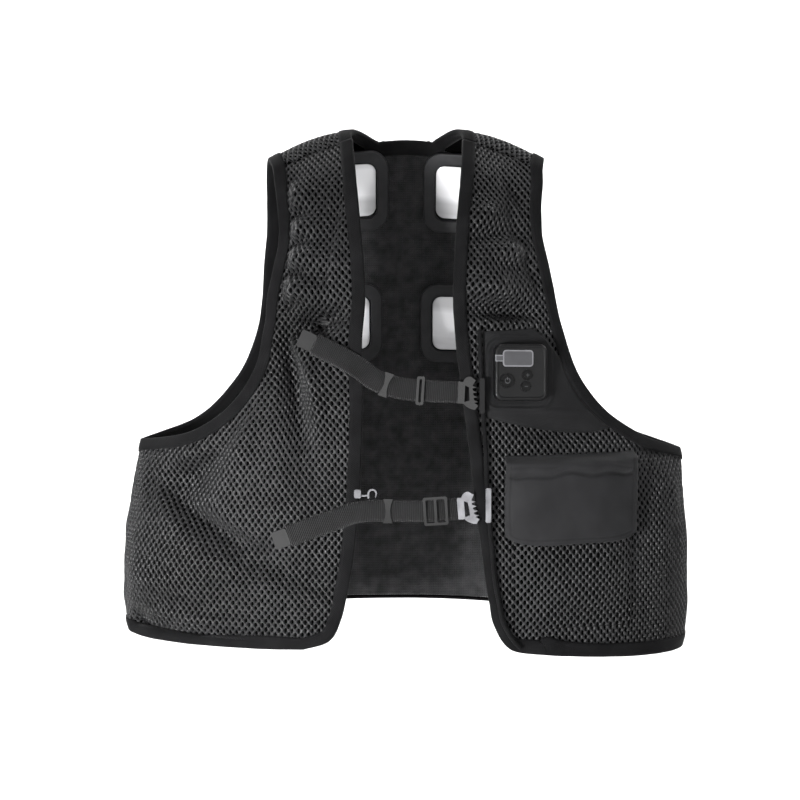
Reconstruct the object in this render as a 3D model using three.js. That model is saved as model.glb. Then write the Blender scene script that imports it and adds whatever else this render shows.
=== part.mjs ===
// A cooling vest, as worn and fastened, in millimetres with +Z up.
// The front faces -Y. The origin lies on the shoulders, in the middle of the neck.
// The wearer's right is at -X and the wearer's left at +X.
import * as THREE from 'three';

// Driving sizes of the vest
const CHEST_HALF = 336;
const BODY_LENGTH = 588;
const HALF_DEPTH = 108;
const WALL = 4;
const LINING = 1;
const GAP = 0.4;
const SEAT = 0.8;

// Folded tape on the edges
const TAPE = 1;
const TAPE_GAP = 0.6;
const TAPE_REACH = 0.7;
const TAPE_WIDTH = 13;

// Cooling units, two each side of the spine. They sit in the gaskets' recesses.
const PLATE = { width: 56, height: 66, thick: 2.4, corner: 11, bevel: 0.6 };
const GASKET = { band: 14, thick: 5.4, groove: 2, corner: 22, chamfer: 1.6 };
const UNITS = [
  { x: -66, drop: 61, lift: 2.8, inner: 2.7 },
  { x: 66, drop: 64, lift: 2.8, inner: 2.7 },
  { x: -74, drop: 226, lift: 1.2, inner: 1.2 },
  { x: 62, drop: 227, lift: 1.2, inner: 1.4 },
];

// Controller on the left front, on its own patch of smooth cloth
const CONTROLLER = { width: 62, height: 65, thick: 12, corner: 9, bevel: 2.4, side: 128, drop: 269 };
const PATCH = {
  wall: 1.2, lift: 0.9, top: 0.358, bottomInner: 0.468, bottomOuter: 0.515, corner: 0.05, margin: 3,
};
const BATTERY = {
  width: 36, height: 19, corner: 4, stub: 9, stubHeight: 7.5, thick: 0.8, drop: 16.5, side: -4.4,
};
const KEYS = [
  { name: 'power_key', radius: 8.4, side: -17, drop: 42 },
  { name: 'plus_key', radius: 5.8, side: 7, drop: 35.5 },
  { name: 'minus_key', radius: 5.8, side: 5.2, drop: 48.5 },
];
const KEY_THICK = 1.2;

// Pocket on the left front and its flap
const POCKET = { left: 124, right: 261, top: 376, bottom: 566, full: 13, wall: 1.4 };
const FLAP = { left: 113, right: 264, top: 364, bottom: 466, wall: 1.2, clear: 2, rise: 0.1, crowd: 1.35 };

// Straps across the opening and the rail that they slide on
const WEBBING = { width: 25, thick: 1.5, ease: 1 };
const RAIL = { radius: 2.6, steps: 18 };
const TAB = { width: 21, length: 19, thick: 1.2 };
const KEEPER = { length: 11, waist: 5, thick: 1.2 };
const ADJUSTER = { bar: 3, thick: 2.4, over: 4 };
const HOOK = { thick: 3.4, height: 38, width: 17, plate: 7 };
const SLIDER = { width: 6.5, height: 40, thick: 2.6, corner: 1.5 };
const CLIP_SIDE = 55;
const CLIP = { width: 8, height: 10, thick: 2.6, above: 4, wire: 2, loopWidth: 11, loopHeight: 11, bar: 7 };

const COLOURS = {
  mesh: 0x3f3f42,
  lining: 0x1d1d22,
  tape: 0x1c1c1f,
  rubber: 0x3c3d41,
  metal: 0xcfd1d4,
  patch: 0x28292d,
  plastic: 0x2c2e32,
  display: 0x8a8c92,
  webbing: 0x303236,
  hardware: 0x232427,
  clip: 0x77797e,
};

// A table with named columns, a row for each section
function table(columns, rows) {
  return rows.map((row) => Object.fromEntries(columns.map((name, k) => [name, row[k]])));
}

// Sections of the front panels from the shoulder seam down to the hem. X is a share of
// CHEST_HALF, Z of BODY_LENGTH below the shoulders, Y of HALF_DEPTH before the sides.
const FRONT_COLUMNS = ['edgeX', 'edgeZ', 'edgeY', 'outerX', 'outerZ', 'outerY', 'wrap', 'bend'];
const FRONT_RIGHT = table(FRONT_COLUMNS, [
  [0.193, 0.007, 0.07, 0.458, 0.064, 0.19, 0.3, 1],
  [0.184, 0.055, 0.35, 0.449, 0.094, 0.30, 0.3, 1],
  [0.173, 0.113, 0.54, 0.437, 0.137, 0.39, 0.3, 1],
  [0.162, 0.177, 0.68, 0.433, 0.188, 0.46, 0.3, 1],
  [0.151, 0.242, 0.78, 0.446, 0.245, 0.52, 0.3, 1],
  [0.147, 0.315, 0.85, 0.471, 0.311, 0.56, 0.3, 1],
  [0.158, 0.402, 0.90, 0.485, 0.380, 0.60, 0.35, 1.3],
  [0.155, 0.500, 0.94, 0.520, 0.460, 0.64, 0.4, 1.8],
  [0.158, 0.588, 0.96, 0.618, 0.536, 0.62, 0.55, 2.2],
  [0.165, 0.676, 0.98, 0.761, 0.589, 0.46, 0.8, 2.4],
  [0.176, 0.755, 0.99, 0.942, 0.615, 0.00, 1, 2.4],
  [0.186, 0.811, 1.00, 0.977, 0.710, 0.00, 1, 1.8],
  [0.200, 0.861, 1.00, 1.005, 0.821, 0.00, 1, 1.4],
  [0.214, 0.905, 1.00, 1.012, 0.910, 0.00, 1, 1.2],
  [0.232, 0.946, 0.99, 1.006, 0.956, 0.00, 1, 1],
  [0.270, 0.986, 0.98, 1.003, 0.983, 0.00, 1, 1],
  [0.357, 1.003, 0.96, 0.996, 1.000, 0.00, 1, 1],
]);
const FRONT_LEFT = table(FRONT_COLUMNS, [
  [0.203, 0.007, 0.07, 0.470, 0.064, 0.19, 0.3, 1],
  [0.197, 0.055, 0.35, 0.468, 0.098, 0.30, 0.3, 1],
  [0.188, 0.113, 0.54, 0.460, 0.141, 0.39, 0.3, 1],
  [0.177, 0.177, 0.68, 0.463, 0.192, 0.46, 0.3, 1],
  [0.170, 0.242, 0.78, 0.483, 0.248, 0.52, 0.3, 1],
  [0.166, 0.315, 0.85, 0.507, 0.313, 0.56, 0.3, 1],
  [0.176, 0.402, 0.90, 0.538, 0.387, 0.60, 0.35, 1.3],
  [0.197, 0.500, 0.94, 0.591, 0.470, 0.64, 0.45, 1.8],
  [0.218, 0.588, 0.96, 0.692, 0.542, 0.60, 0.65, 2.2],
  [0.235, 0.676, 0.98, 0.823, 0.594, 0.43, 0.85, 2.4],
  [0.253, 0.755, 0.99, 0.975, 0.632, 0.00, 1, 2.4],
  [0.267, 0.811, 1.00, 0.992, 0.727, 0.00, 1, 1.8],
  [0.278, 0.861, 1.00, 1.006, 0.832, 0.00, 1, 1.4],
  [0.292, 0.909, 1.00, 1.010, 0.925, 0.00, 1, 1.2],
  [0.310, 0.956, 0.99, 1.008, 0.976, 0.00, 1, 1],
  [0.366, 1.003, 0.98, 1.004, 1.008, 0.00, 1, 1],
  [0.490, 1.014, 0.96, 0.994, 1.032, 0.00, 1, 1],
]);

// Sections of the back from the neck down to the hem, with the same shares
const BACK_COLUMNS = ['centreZ', 'centreY', 'rightX', 'rightZ', 'leftX', 'leftZ', 'outerY', 'wrap', 'bend'];
const BACK = table(BACK_COLUMNS, [
  [0.008, 0.57, 0.492, 0.116, 0.463, 0.116, 0.39, 0.3, 2],
  [0.106, 0.76, 0.494, 0.188, 0.470, 0.192, 0.46, 0.3, 2],
  [0.211, 0.87, 0.507, 0.260, 0.490, 0.264, 0.51, 0.3, 2],
  [0.317, 0.93, 0.516, 0.333, 0.517, 0.339, 0.55, 0.35, 2],
  [0.413, 0.95, 0.541, 0.408, 0.553, 0.418, 0.59, 0.45, 2],
  [0.499, 0.96, 0.607, 0.492, 0.611, 0.503, 0.55, 0.6, 2],
  [0.590, 0.96, 0.745, 0.575, 0.757, 0.588, 0.42, 0.8, 2.2],
  [0.670, 0.96, 0.942, 0.615, 0.975, 0.632, 0.00, 1, 2.4],
  [0.745, 0.97, 0.977, 0.710, 0.992, 0.727, 0.00, 1, 2],
  [0.835, 0.99, 1.005, 0.821, 1.006, 0.832, 0.00, 1, 2],
  [0.915, 1.01, 1.012, 0.910, 1.010, 0.925, 0.00, 1, 2],
  [0.984, 1.02, 0.996, 1.000, 0.994, 1.032, 0.00, 1, 2],
]);
const OUTER_BACK = ['rightX', 'rightZ', 'leftX', 'leftZ', 'outerY'];

// The rows where the armhole meets the side seam
const UNDERARM_ROW = { front: 10, back: 7 };
const FRONT_UNDERARM = UNDERARM_ROW.front / (FRONT_RIGHT.length - 1);
const BACK_UNDERARM = UNDERARM_ROW.back / (BACK.length - 1);

// The shoulder line between neck and tip, and where the neck opening ends on the back
const RIDGE = { neckX: 0.2, neckZ: -0.007, tipX: 0.479, tipZ: 0.045, y: 0.09, crown: 0.01 };
const NECK_SHARE = 0.2;

// Folds and gathers: ridges on the cloth, negative for a crease. Across and down are
// shares of the panel, long, wide and high shares of HALF_DEPTH, turn is in degrees.
const FOLD_COLUMNS = ['across', 'down', 'long', 'wide', 'turn', 'high'];
const FOLDS_RIGHT = table(FOLD_COLUMNS, [
  [0.75, 0.115, 0.45, 0.14, 8, 0.060],
  [0.75, 0.185, 0.50, 0.13, 4, 0.060],
  [0.70, 0.245, 0.55, 0.12, 0, 0.065],
  [0.72, 0.300, 0.55, 0.13, -4, 0.070],
  [0.45, 0.352, 0.60, 0.10, 10, -0.090],
  [0.55, 0.455, 0.70, 0.14, -42, -0.100],
  [0.35, 0.530, 0.80, 0.20, -46, 0.070],
  [0.55, 0.640, 0.90, 0.16, -40, -0.080],
  [0.75, 0.780, 0.90, 0.40, 10, 0.060],
  [0.80, 0.930, 0.40, 0.16, 70, -0.050],
]);
const FOLDS_LEFT = table(FOLD_COLUMNS, [
  [0.30, 0.160, 0.45, 0.14, -8, 0.050],
  [0.55, 0.230, 0.55, 0.12, -4, 0.060],
  [0.40, 0.290, 0.55, 0.13, 0, 0.060],
  [0.45, 0.327, 0.60, 0.08, 4, -0.050],
  [0.88, 0.640, 0.50, 0.14, -50, 0.040],
]);

// The straps' routes. X and Z are shares as above, and over says what lies under the
// webbing: the right panel, nothing, or the left panel.
const STRAP_COLUMNS = ['x', 'z', 'over'];
const STRAP_UPPER = table(STRAP_COLUMNS, [
  [-0.310, 0.402, 'right'],
  [-0.262, 0.415, 'right'],
  [-0.210, 0.430, 'right'],
  [-0.155, 0.448, 'right'],
  [-0.110, 0.468, 'none'],
  [-0.060, 0.480, 'none'],
  [0.000, 0.487, 'none'],
  [0.060, 0.490, 'none'],
  [0.174, 0.493, 'none'],
]);
const STRAP_LOWER = table(STRAP_COLUMNS, [
  [-0.400, 0.777, 'right'],
  [-0.345, 0.765, 'right'],
  [-0.290, 0.753, 'right'],
  [-0.235, 0.741, 'right'],
  [-0.175, 0.729, 'right'],
  [-0.120, 0.725, 'none'],
  [-0.060, 0.725, 'none'],
  [0.010, 0.726, 'none'],
  [0.090, 0.725, 'none'],
  [0.174, 0.721, 'none'],
]);
// Shares of the route where the keeper and the adjuster sit, and the adjuster's width
const FITTINGS = {
  upper: { keeper: 0.535, adjuster: 0.76, frame: 9, rail: 0.14 },
  lower: { keeper: 0.60, adjuster: 0.875, frame: 28, rail: 0.43 },
};

// How far the rail lies inside the front edge, as shares of the tape's width
const RAIL_COLUMNS = ['down', 'inside'];
const RAIL_ROUTE = table(RAIL_COLUMNS, [
  [0.355, 2.00], [0.440, 1.50], [0.500, 1.30], [0.590, 0.95],
  [0.680, 0.75], [0.760, 0.70], [0.850, 0.75], [0.930, 0.95],
]);

const lerp = THREE.MathUtils.lerp;
const clamp = THREE.MathUtils.clamp;
const smooth = (x, low, high) => THREE.MathUtils.smoothstep(x, low, high);

// A column's value between rows, on a smooth curve through them that may turn a corner
function between(rows, name, place, corner = -1) {
  const last = rows.length - 1;
  const k = clamp(Math.floor(place), 0, last - 1);
  const f = place - k;
  const at = (m) => rows[clamp(m, 0, last)][name];
  const [b, c] = [at(k), at(k + 1)];
  const a = k === corner ? 2 * b - c : at(k - 1);
  const d = k + 1 === corner ? 2 * c - b : at(k + 2);
  return b + 0.5 * f * (c - a + f * (2 * a - 5 * b + 4 * c - d + f * (3 * (b - c) + d - a)));
}

// How far a section has gone across and back. It is an arc of an ellipse, and wrap is
// the share of a quarter turn that it takes.
function bow(u, wrap) {
  const whole = wrap * Math.PI / 2;
  return {
    across: Math.sin(u * whole) / Math.sin(whole),
    back: (1 - Math.cos(u * whole)) / (1 - Math.cos(whole)),
  };
}

// How far a section has risen or dropped. Below the underarm it is level at the side.
const LEVEL_SPAN = 0.12;
function level(u, across, below) {
  return lerp(u, across, smooth(below, 0, LEVEL_SPAN));
}

// The point and the two directions along a surface
function tangents(surface, u, v) {
  const step = 0.002;
  const u0 = Math.max(u - step, surface.uMin);
  const u1 = Math.min(u + step, 1);
  const v0 = Math.max(v - step, surface.vMin);
  const v1 = Math.min(v + step, 1);
  const pu = surface.point(u1, v).sub(surface.point(u0, v)).divideScalar(u1 - u0);
  const pv = surface.point(u, v1).sub(surface.point(u, v0)).divideScalar(v1 - v0);
  return { p: surface.point(u, v), pu, pv };
}

// A surface's point with the normal that points away from the wearer. Where the two
// directions nearly meet, at the armhole's foot and the hem's corner, the cloth hangs
// plumb and the second direction is straight down.
const LEAN = { low: 0.25, high: 0.7 };
function spot(surface, u, v) {
  const { p, pu, pv } = tangents(surface, u, v);
  const lean = pu.clone().cross(pv).length() / (pu.length() * pv.length());
  pv.lerp(new THREE.Vector3(0, 0, -pv.length()), 1 - smooth(lean, LEAN.low, LEAN.high));
  const n = pu.clone().cross(pv).multiplyScalar(surface.outward).normalize();
  return { p, n, u, v };
}

// Folds laid on a plain surface, fading out at the seams
function withFolds(plain, folds, panelWidth) {
  if (folds.length === 0) return plain;
  const height = (u, v) => {
    let sum = 0;
    for (const fold of folds) {
      const a = (u - fold.across) * panelWidth;
      const b = (v - fold.down) * BODY_LENGTH;
      const turn = THREE.MathUtils.degToRad(fold.turn);
      const along = (a * Math.cos(turn) + b * Math.sin(turn)) / (fold.long * HALF_DEPTH);
      const cross = (b * Math.cos(turn) - a * Math.sin(turn)) / (fold.wide * HALF_DEPTH);
      sum += fold.high * HALF_DEPTH * Math.exp(-along * along - cross * cross);
    }
    const atSeam = smooth(v, 0, 0.08);
    const atSide = 1 - smooth(v, 0.5, 0.6) * (1 - smooth(1 - u, 0, 0.2));
    return sum * atSeam * atSide;
  };
  const point = (u, v) => {
    const lift = height(u, v);
    if (Math.abs(lift) < 0.001) return plain.point(u, v);
    const { p, n } = spot(plain, u, v);
    return p.addScaledVector(n, lift);
  };
  return { ...plain, point, plain, height };
}

// The middle of a front panel's wall: u from the front edge to the armhole and side,
// v from the shoulder seam to the hem
function frontSurface(side, rows, folds) {
  const point = (u, v) => {
    const place = v * (rows.length - 1);
    const value = (name) => between(rows, name, place, name.startsWith('outer') ? UNDERARM_ROW.front : -1);
    const { across, back } = bow(u, value('wrap'));
    const x = side * CHEST_HALF * lerp(value('edgeX'), value('outerX'), across);
    const y = -HALF_DEPTH * lerp(value('edgeY'), value('outerY'), back) - GAP / 2;
    const share = level(u, across, v - FRONT_UNDERARM) ** value('bend');
    const z = -BODY_LENGTH * lerp(value('edgeZ'), value('outerZ'), share);
    return new THREE.Vector3(x, y, z);
  };
  const plain = { point, uMin: 0, vMin: 0, outward: -side };
  return withFolds(plain, folds, CHEST_HALF * 0.6);
}

// The middle of the back's wall: u from the right side to the left, v from the neck
// to the hem, and v below 0 on the shoulder parts that run over to the front seams
function backSurface(frontOf) {
  const body = (u, v) => {
    const place = v * (BACK.length - 1);
    const value = (name) => between(BACK, name, place, OUTER_BACK.includes(name) ? UNDERARM_ROW.back : -1);
    const side = u < 0 ? 'right' : 'left';
    const a = Math.abs(u);
    const { across, back: fallBack } = bow(a, value('wrap'));
    const x = Math.sign(u) * CHEST_HALF * value(side + 'X') * across;
    const y = HALF_DEPTH * lerp(value('centreY'), value('outerY'), fallBack) + GAP / 2;
    const share = level(a, across, v - BACK_UNDERARM) ** value('bend');
    const z = -BODY_LENGTH * lerp(value('centreZ'), value(side + 'Z'), share);
    return new THREE.Vector3(x, y, z);
  };
  const shoulder = (u, v) => {
    const side = Math.sign(u);
    const a = (Math.abs(u) - NECK_SHARE) / (1 - NECK_SHARE);
    const low = body(u, 0);
    const seam = frontOf(side).point(clamp(a, 0, 1), 0);
    seam.y += GAP;
    const ridge = new THREE.Vector3(
      side * CHEST_HALF * lerp(RIDGE.neckX, RIDGE.tipX, a),
      HALF_DEPTH * RIDGE.y,
      -BODY_LENGTH * (lerp(RIDGE.neckZ, RIDGE.tipZ, a) - RIDGE.crown * Math.sin(Math.PI * a)),
    );
    const first = low.distanceTo(ridge);
    const top = first / (first + ridge.distanceTo(seam));
    const s = -v;
    const result = new THREE.Vector3();
    result.addScaledVector(low, (s - top) * (s - 1) / top);
    result.addScaledVector(ridge, s * (s - 1) / (top * (top - 1)));
    result.addScaledVector(seam, s * (s - top) / (1 - top));
    return result;
  };
  const point = (u, v) => (v < 0 ? shoulder(u, v) : body(u, v));
  return { point, uMin: -1, vMin: -1, outward: 1 };
}

// Walks over a surface from a place on it, in a direction along it
function walk(surface, from, direction, distance) {
  const parts = 6;
  let { u, v } = from;
  for (let k = 0; k < parts; k += 1) {
    const { pu, pv } = tangents(surface, u, v);
    const [a, b, c] = [pu.dot(pu), pu.dot(pv), pv.dot(pv)];
    const [d, e] = [pu.dot(direction), pv.dot(direction)];
    const whole = a * c - b * b;
    u += (d * c - e * b) / whole * distance / parts;
    v += (a * e - b * d) / whole * distance / parts;
    u = clamp(u, surface.uMin, 1);
    v = clamp(v, surface.vMin, 1);
  }
  return spot(surface, u, v);
}

// The place on a surface in front of, or behind, a given x and z
function locate(surface, x, z, guess) {
  let [u, v] = guess;
  for (let k = 0; k < 12; k += 1) {
    const { p, pu, pv } = tangents(surface, u, v);
    const whole = pu.x * pv.z - pv.x * pu.z;
    const [dx, dz] = [x - p.x, z - p.z];
    u = clamp(u + (dx * pv.z - dz * pv.x) / whole, surface.uMin, 1);
    v = clamp(v + (dz * pu.x - dx * pu.z) / whole, surface.vMin, 1);
  }
  return spot(surface, u, v);
}

// The v at a distance down (or up) one column of a surface
function advance(surface, u, from, distance) {
  const step = Math.sign(distance) * 0.001;
  let v = from;
  let left = Math.abs(distance);
  let here = surface.point(u, v);
  while (left > 0) {
    const next = surface.point(u, v + step);
    left -= here.distanceTo(next);
    here = next;
    v += step;
  }
  return v;
}

// Steps from one number to another, the first left out. A crowd above 1 sets them
// closer together towards the end.
function steps(from, to, count, crowd = 1) {
  return Array.from({ length: count }, (_, k) => lerp(from, to, 1 - (1 - (k + 1) / count) ** crowd));
}

// Collects triangles and joins the corners that they share
class Solid {
  constructor() {
    this.positions = [];
    this.index = [];
    this.known = new Map();
  }

  corner(p) {
    const key = [p.x, p.y, p.z].map((value) => Math.round(value * 1000)).join(' ');
    if (!this.known.has(key)) {
      this.known.set(key, this.positions.length / 3);
      this.positions.push(p.x, p.y, p.z);
    }
    return this.known.get(key);
  }

  triangle(a, b, c) {
    const [i, j, k] = [this.corner(a), this.corner(b), this.corner(c)];
    if (i !== j && j !== k && k !== i) this.index.push(i, j, k);
  }

  // split says that the quad is cut from a to c and not from b to d
  quad(a, b, c, d, split = true) {
    if (split) {
      this.triangle(a, b, c);
      this.triangle(a, c, d);
    } else {
      this.triangle(a, b, d);
      this.triangle(b, c, d);
    }
  }

  geometry() {
    const geometry = new THREE.BufferGeometry();
    geometry.setAttribute('position', new THREE.Float32BufferAttribute(this.positions, 3));
    geometry.setIndex(this.index);
    outwards(geometry);
    geometry.computeVertexNormals();
    return geometry;
  }
}

// Turns the faces round where they enclose a negative volume
function outwards(geometry) {
  const at = geometry.getAttribute('position');
  const index = geometry.getIndex().array;
  const corner = (k) => new THREE.Vector3().fromBufferAttribute(at, index[k]);
  let volume = 0;
  for (let k = 0; k < index.length; k += 3) {
    volume += corner(k).dot(corner(k + 1).cross(corner(k + 2)));
  }
  if (volume > 0) return;
  for (let k = 0; k < index.length; k += 3) {
    [index[k], index[k + 1]] = [index[k + 1], index[k]];
  }
}

const nearer = (a, b, c, d) => a.distanceTo(b) <= c.distanceTo(d);
const shorter = (a, b, c, d) => nearer(a.p, c.p, b.p, d.p);
const raised = (at, height) => at.p.clone().addScaledVector(at.n, height);

// The name of a grid's cell in a list of cuts
const cell = (i, j) => i + ' ' + j;

// A wall of cloth over the cells of a grid, between two heights above its middle.
// keep says which cells are there, heights may be functions of the grid's place, and
// cuts says which way some cells are split.
function shell(grid, low, high, keep = () => true, cuts = new Map()) {
  const solid = new Solid();
  const lift = (height, i, j) => raised(grid[i][j], typeof height === 'function' ? height(i, j) : height);
  const there = (i, j) => i >= 0 && j >= 0 && i < grid.length - 1 && j < grid[0].length - 1 && keep(i, j);
  for (let i = 0; i < grid.length - 1; i += 1) {
    for (let j = 0; j < grid[0].length - 1; j += 1) {
      if (!there(i, j)) continue;
      const ring = [[i, j], [i + 1, j], [i + 1, j + 1], [i, j + 1]];
      const cut = cuts.get(cell(i, j)) ?? shorter(...ring.map(([a, b]) => grid[a][b]));
      const top = ring.map(([a, b]) => lift(high, a, b));
      const base = ring.map(([a, b]) => lift(low, a, b));
      solid.quad(...top, cut);
      solid.quad(base[3], base[2], base[1], base[0], !cut);
      const beside = [[i, j - 1], [i + 1, j], [i, j + 1], [i - 1, j]];
      beside.forEach(([a, b], k) => {
        if (there(a, b)) return;
        const next = (k + 1) % 4;
        solid.quad(base[k], base[next], top[next], top[k], nearer(base[k], top[next], base[next], top[k]));
      });
    }
  }
  return solid.geometry();
}

// A strip lofted through rings of points, closed on itself or with flat ends
function loft(rings, closed = false) {
  const solid = new Solid();
  const count = rings[0].length;
  const spans = closed ? rings.length : rings.length - 1;
  for (let k = 0; k < spans; k += 1) {
    const here = rings[k];
    const next = rings[(k + 1) % rings.length];
    for (let m = 0; m < count; m += 1) {
      const n = (m + 1) % count;
      solid.quad(here[m], next[m], next[n], here[n]);
    }
  }
  if (!closed) {
    const first = rings[0];
    const last = rings[rings.length - 1];
    for (let m = 1; m < count - 1; m += 1) {
      solid.triangle(first[0], first[m], first[m + 1]);
      solid.triangle(last[0], last[m + 1], last[m]);
    }
  }
  return solid.geometry();
}

// Tape folded round an edge, given as pairs of a point on the edge and a point inside
// it where the tape's two legs end. Neighbouring pairs may share either point.
function foldedTape(pairs, closed = false) {
  const inner = WALL / 2 + TAPE_GAP;
  const outer = inner + TAPE;
  const wrapped = TAPE_REACH + TAPE;
  const away = new Map();
  for (const [edge, inside] of pairs) {
    const out = edge.p.clone().sub(inside.p).normalize();
    away.set(edge, (away.get(edge) ?? new THREE.Vector3()).add(out));
  }
  away.forEach((out, edge) => out.addScaledVector(edge.n, -out.dot(edge.n)).normalize());
  const rings = pairs.map(([edge, inside]) => {
    const bend = (height, reach) => raised(edge, height).addScaledVector(away.get(edge), reach);
    return [
      raised(inside, inner), bend(inner, TAPE_REACH), bend(-inner, TAPE_REACH), raised(inside, -inner),
      raised(inside, -outer), bend(-outer, wrapped), bend(outer, wrapped), raised(inside, outer),
    ];
  });
  const solid = new Solid();
  const spans = closed ? rings.length : rings.length - 1;
  const sides = ['leg', 'fold', 'leg', 'end', 'leg', 'fold', 'leg', 'end'];
  for (let k = 0; k < spans; k += 1) {
    const next = (k + 1) % rings.length;
    const [edge, inside] = pairs[k];
    const [nextEdge, nextInside] = pairs[next];
    const half = WALL / 2;
    const here = [raised(edge, -half), raised(edge, half)];
    const there = [raised(nextEdge, -half), raised(nextEdge, half)];
    const splits = {
      leg: shorter(inside, edge, nextEdge, nextInside),
      fold: nearer(here[0], there[1], there[0], here[1]),
      end: true,
    };
    sides.forEach((side, m) => {
      const n = (m + 1) % sides.length;
      const turned = m === 1 || m === 2 || m === 6;
      const split = splits[side] !== turned;
      solid.quad(rings[k][m], rings[k][n], rings[next][n], rings[next][m], split);
    });
  }
  if (!closed) {
    const strips = [[0, 1, 6, 7], [1, 2, 5, 6], [2, 3, 4, 5]];
    const [first, last] = [rings[0], rings[rings.length - 1]];
    strips.forEach(([a, b, c, d]) => {
      solid.quad(first[d], first[c], first[b], first[a]);
      solid.quad(last[a], last[b], last[c], last[d]);
    });
  }
  return solid.geometry();
}

// The direction out of the cloth at one point of an edge line
function outOf(line, k, towards) {
  const before = line[Math.max(k - 1, 0)];
  const after = line[Math.min(k + 1, line.length - 1)];
  const out = after.p.clone().sub(before.p).cross(line[k].n).normalize();
  if (out.dot(towards.p.clone().sub(line[k].p)) > 0) out.negate();
  return out;
}

const group = new THREE.Group();

// Names a piece, gives it its finish and puts it on the vest
function add(name, geometry, colour, roughness = 0.85, metalness = 0) {
  const material = new THREE.MeshStandardMaterial({ color: COLOURS[colour], roughness, metalness });
  const mesh = new THREE.Mesh(geometry, material);
  mesh.name = name;
  group.add(mesh);
  return mesh;
}

const rightSurface = frontSurface(-1, FRONT_RIGHT, FOLDS_RIGHT);
const leftSurface = frontSurface(1, FRONT_LEFT, FOLDS_LEFT);
const frontOf = (side) => (side < 0 ? rightSurface : leftSurface);
const back = backSurface(frontOf);

// A front panel's grid. Its outer ring of cells is as wide as the tape.
const SEAM_CELLS = 9;
const SIDE_ROWS = 4;
const FRONT_GATHER = [0.06, 0.36];
function frontGrid(surface) {
  const underarm = FRONT_UNDERARM;
  const hemRing = advance(surface, 1, 1, -TAPE_WIDTH);
  const tapeRow = advance(surface, 1, underarm, TAPE_WIDTH);
  const outer = [
    0, 0.03, FRONT_GATHER[0], ...steps(...FRONT_GATHER, 9), ...steps(FRONT_GATHER[1], underarm, 8, 1.5),
    tapeRow, ...steps(tapeRow, hemRing, SIDE_ROWS), 1,
  ];
  const cornerRows = [0.905, 0.935, 0.957, 0.976];
  const edge = outer.map((v, j) => {
    const fromEnd = outer.length - 2 - j;
    return fromEnd < cornerRows.length && fromEnd >= 0 ? cornerRows[cornerRows.length - 1 - fromEnd] : v;
  });
  const under = outer.indexOf(underarm);
  const rows = outer.length;
  const cells = SEAM_CELLS;
  const ends = outer.map((v, j) => [spot(surface, 0, edge[j]), spot(surface, 1, v)]);
  const lines = [0, 1].map((k) => ends.map((pair) => pair[k]));
  const inward = (k, j) => {
    const line = lines[k];
    const centre = spot(surface, 0.5, line[j].v);
    return outOf(line, j, centre).negate();
  };
  const hem = Array.from({ length: cells + 1 }, (_, i) => {
    const width = lines[0][rows - 1].p.distanceTo(lines[1][rows - 1].p) * 1.1;
    const ring = TAPE_WIDTH / width;
    if (i === 0) return ends[rows - 1][0];
    if (i === cells) return ends[rows - 1][1];
    return spot(surface, lerp(ring, 1 - ring, (i - 1) / (cells - 2)), 1);
  });
  const grid = Array.from({ length: cells + 1 }, () => []);
  for (let j = 0; j < rows; j += 1) {
    const left = walk(surface, ends[j][0], inward(0, j), TAPE_WIDTH);
    let right = walk(surface, ends[j][1], inward(1, j), TAPE_WIDTH);
    if (j === under) {
      const down = ends[j + 1][1].p.clone().sub(ends[j][1].p).normalize();
      const before = outOf(lines[1].slice(0, under + 1), under, spot(surface, 0.5, underarm)).negate();
      right = walk(surface, ends[j][1], before.add(down).normalize(), TAPE_WIDTH);
    }
    for (let i = 0; i <= cells; i += 1) {
      if (i === 0 || i === cells) {
        grid[i][j] = ends[j][i === 0 ? 0 : 1];
      } else {
        const share = (i - 1) / (cells - 2);
        grid[i][j] = spot(surface, lerp(left.u, right.u, share), lerp(left.v, right.v, share));
      }
    }
  }
  for (let i = 0; i <= cells; i += 1) {
    grid[i][rows - 1] = hem[i];
    if (i > 0 && i < cells) {
      const from = i === 1 ? 0 : i;
      const up = outOf(hem, from, spot(surface, hem[from].u, hemRing)).negate();
      grid[i][rows - 2] = walk(surface, hem[from], up, TAPE_WIDTH);
    }
  }
  const cuts = new Map([[cell(cells - 1, under), true], [cell(0, rows - 2), false]]);
  return { grid, rows, under, cells, cuts };
}

const fronts = { right: frontGrid(rightSurface), left: frontGrid(leftSurface) };

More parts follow.
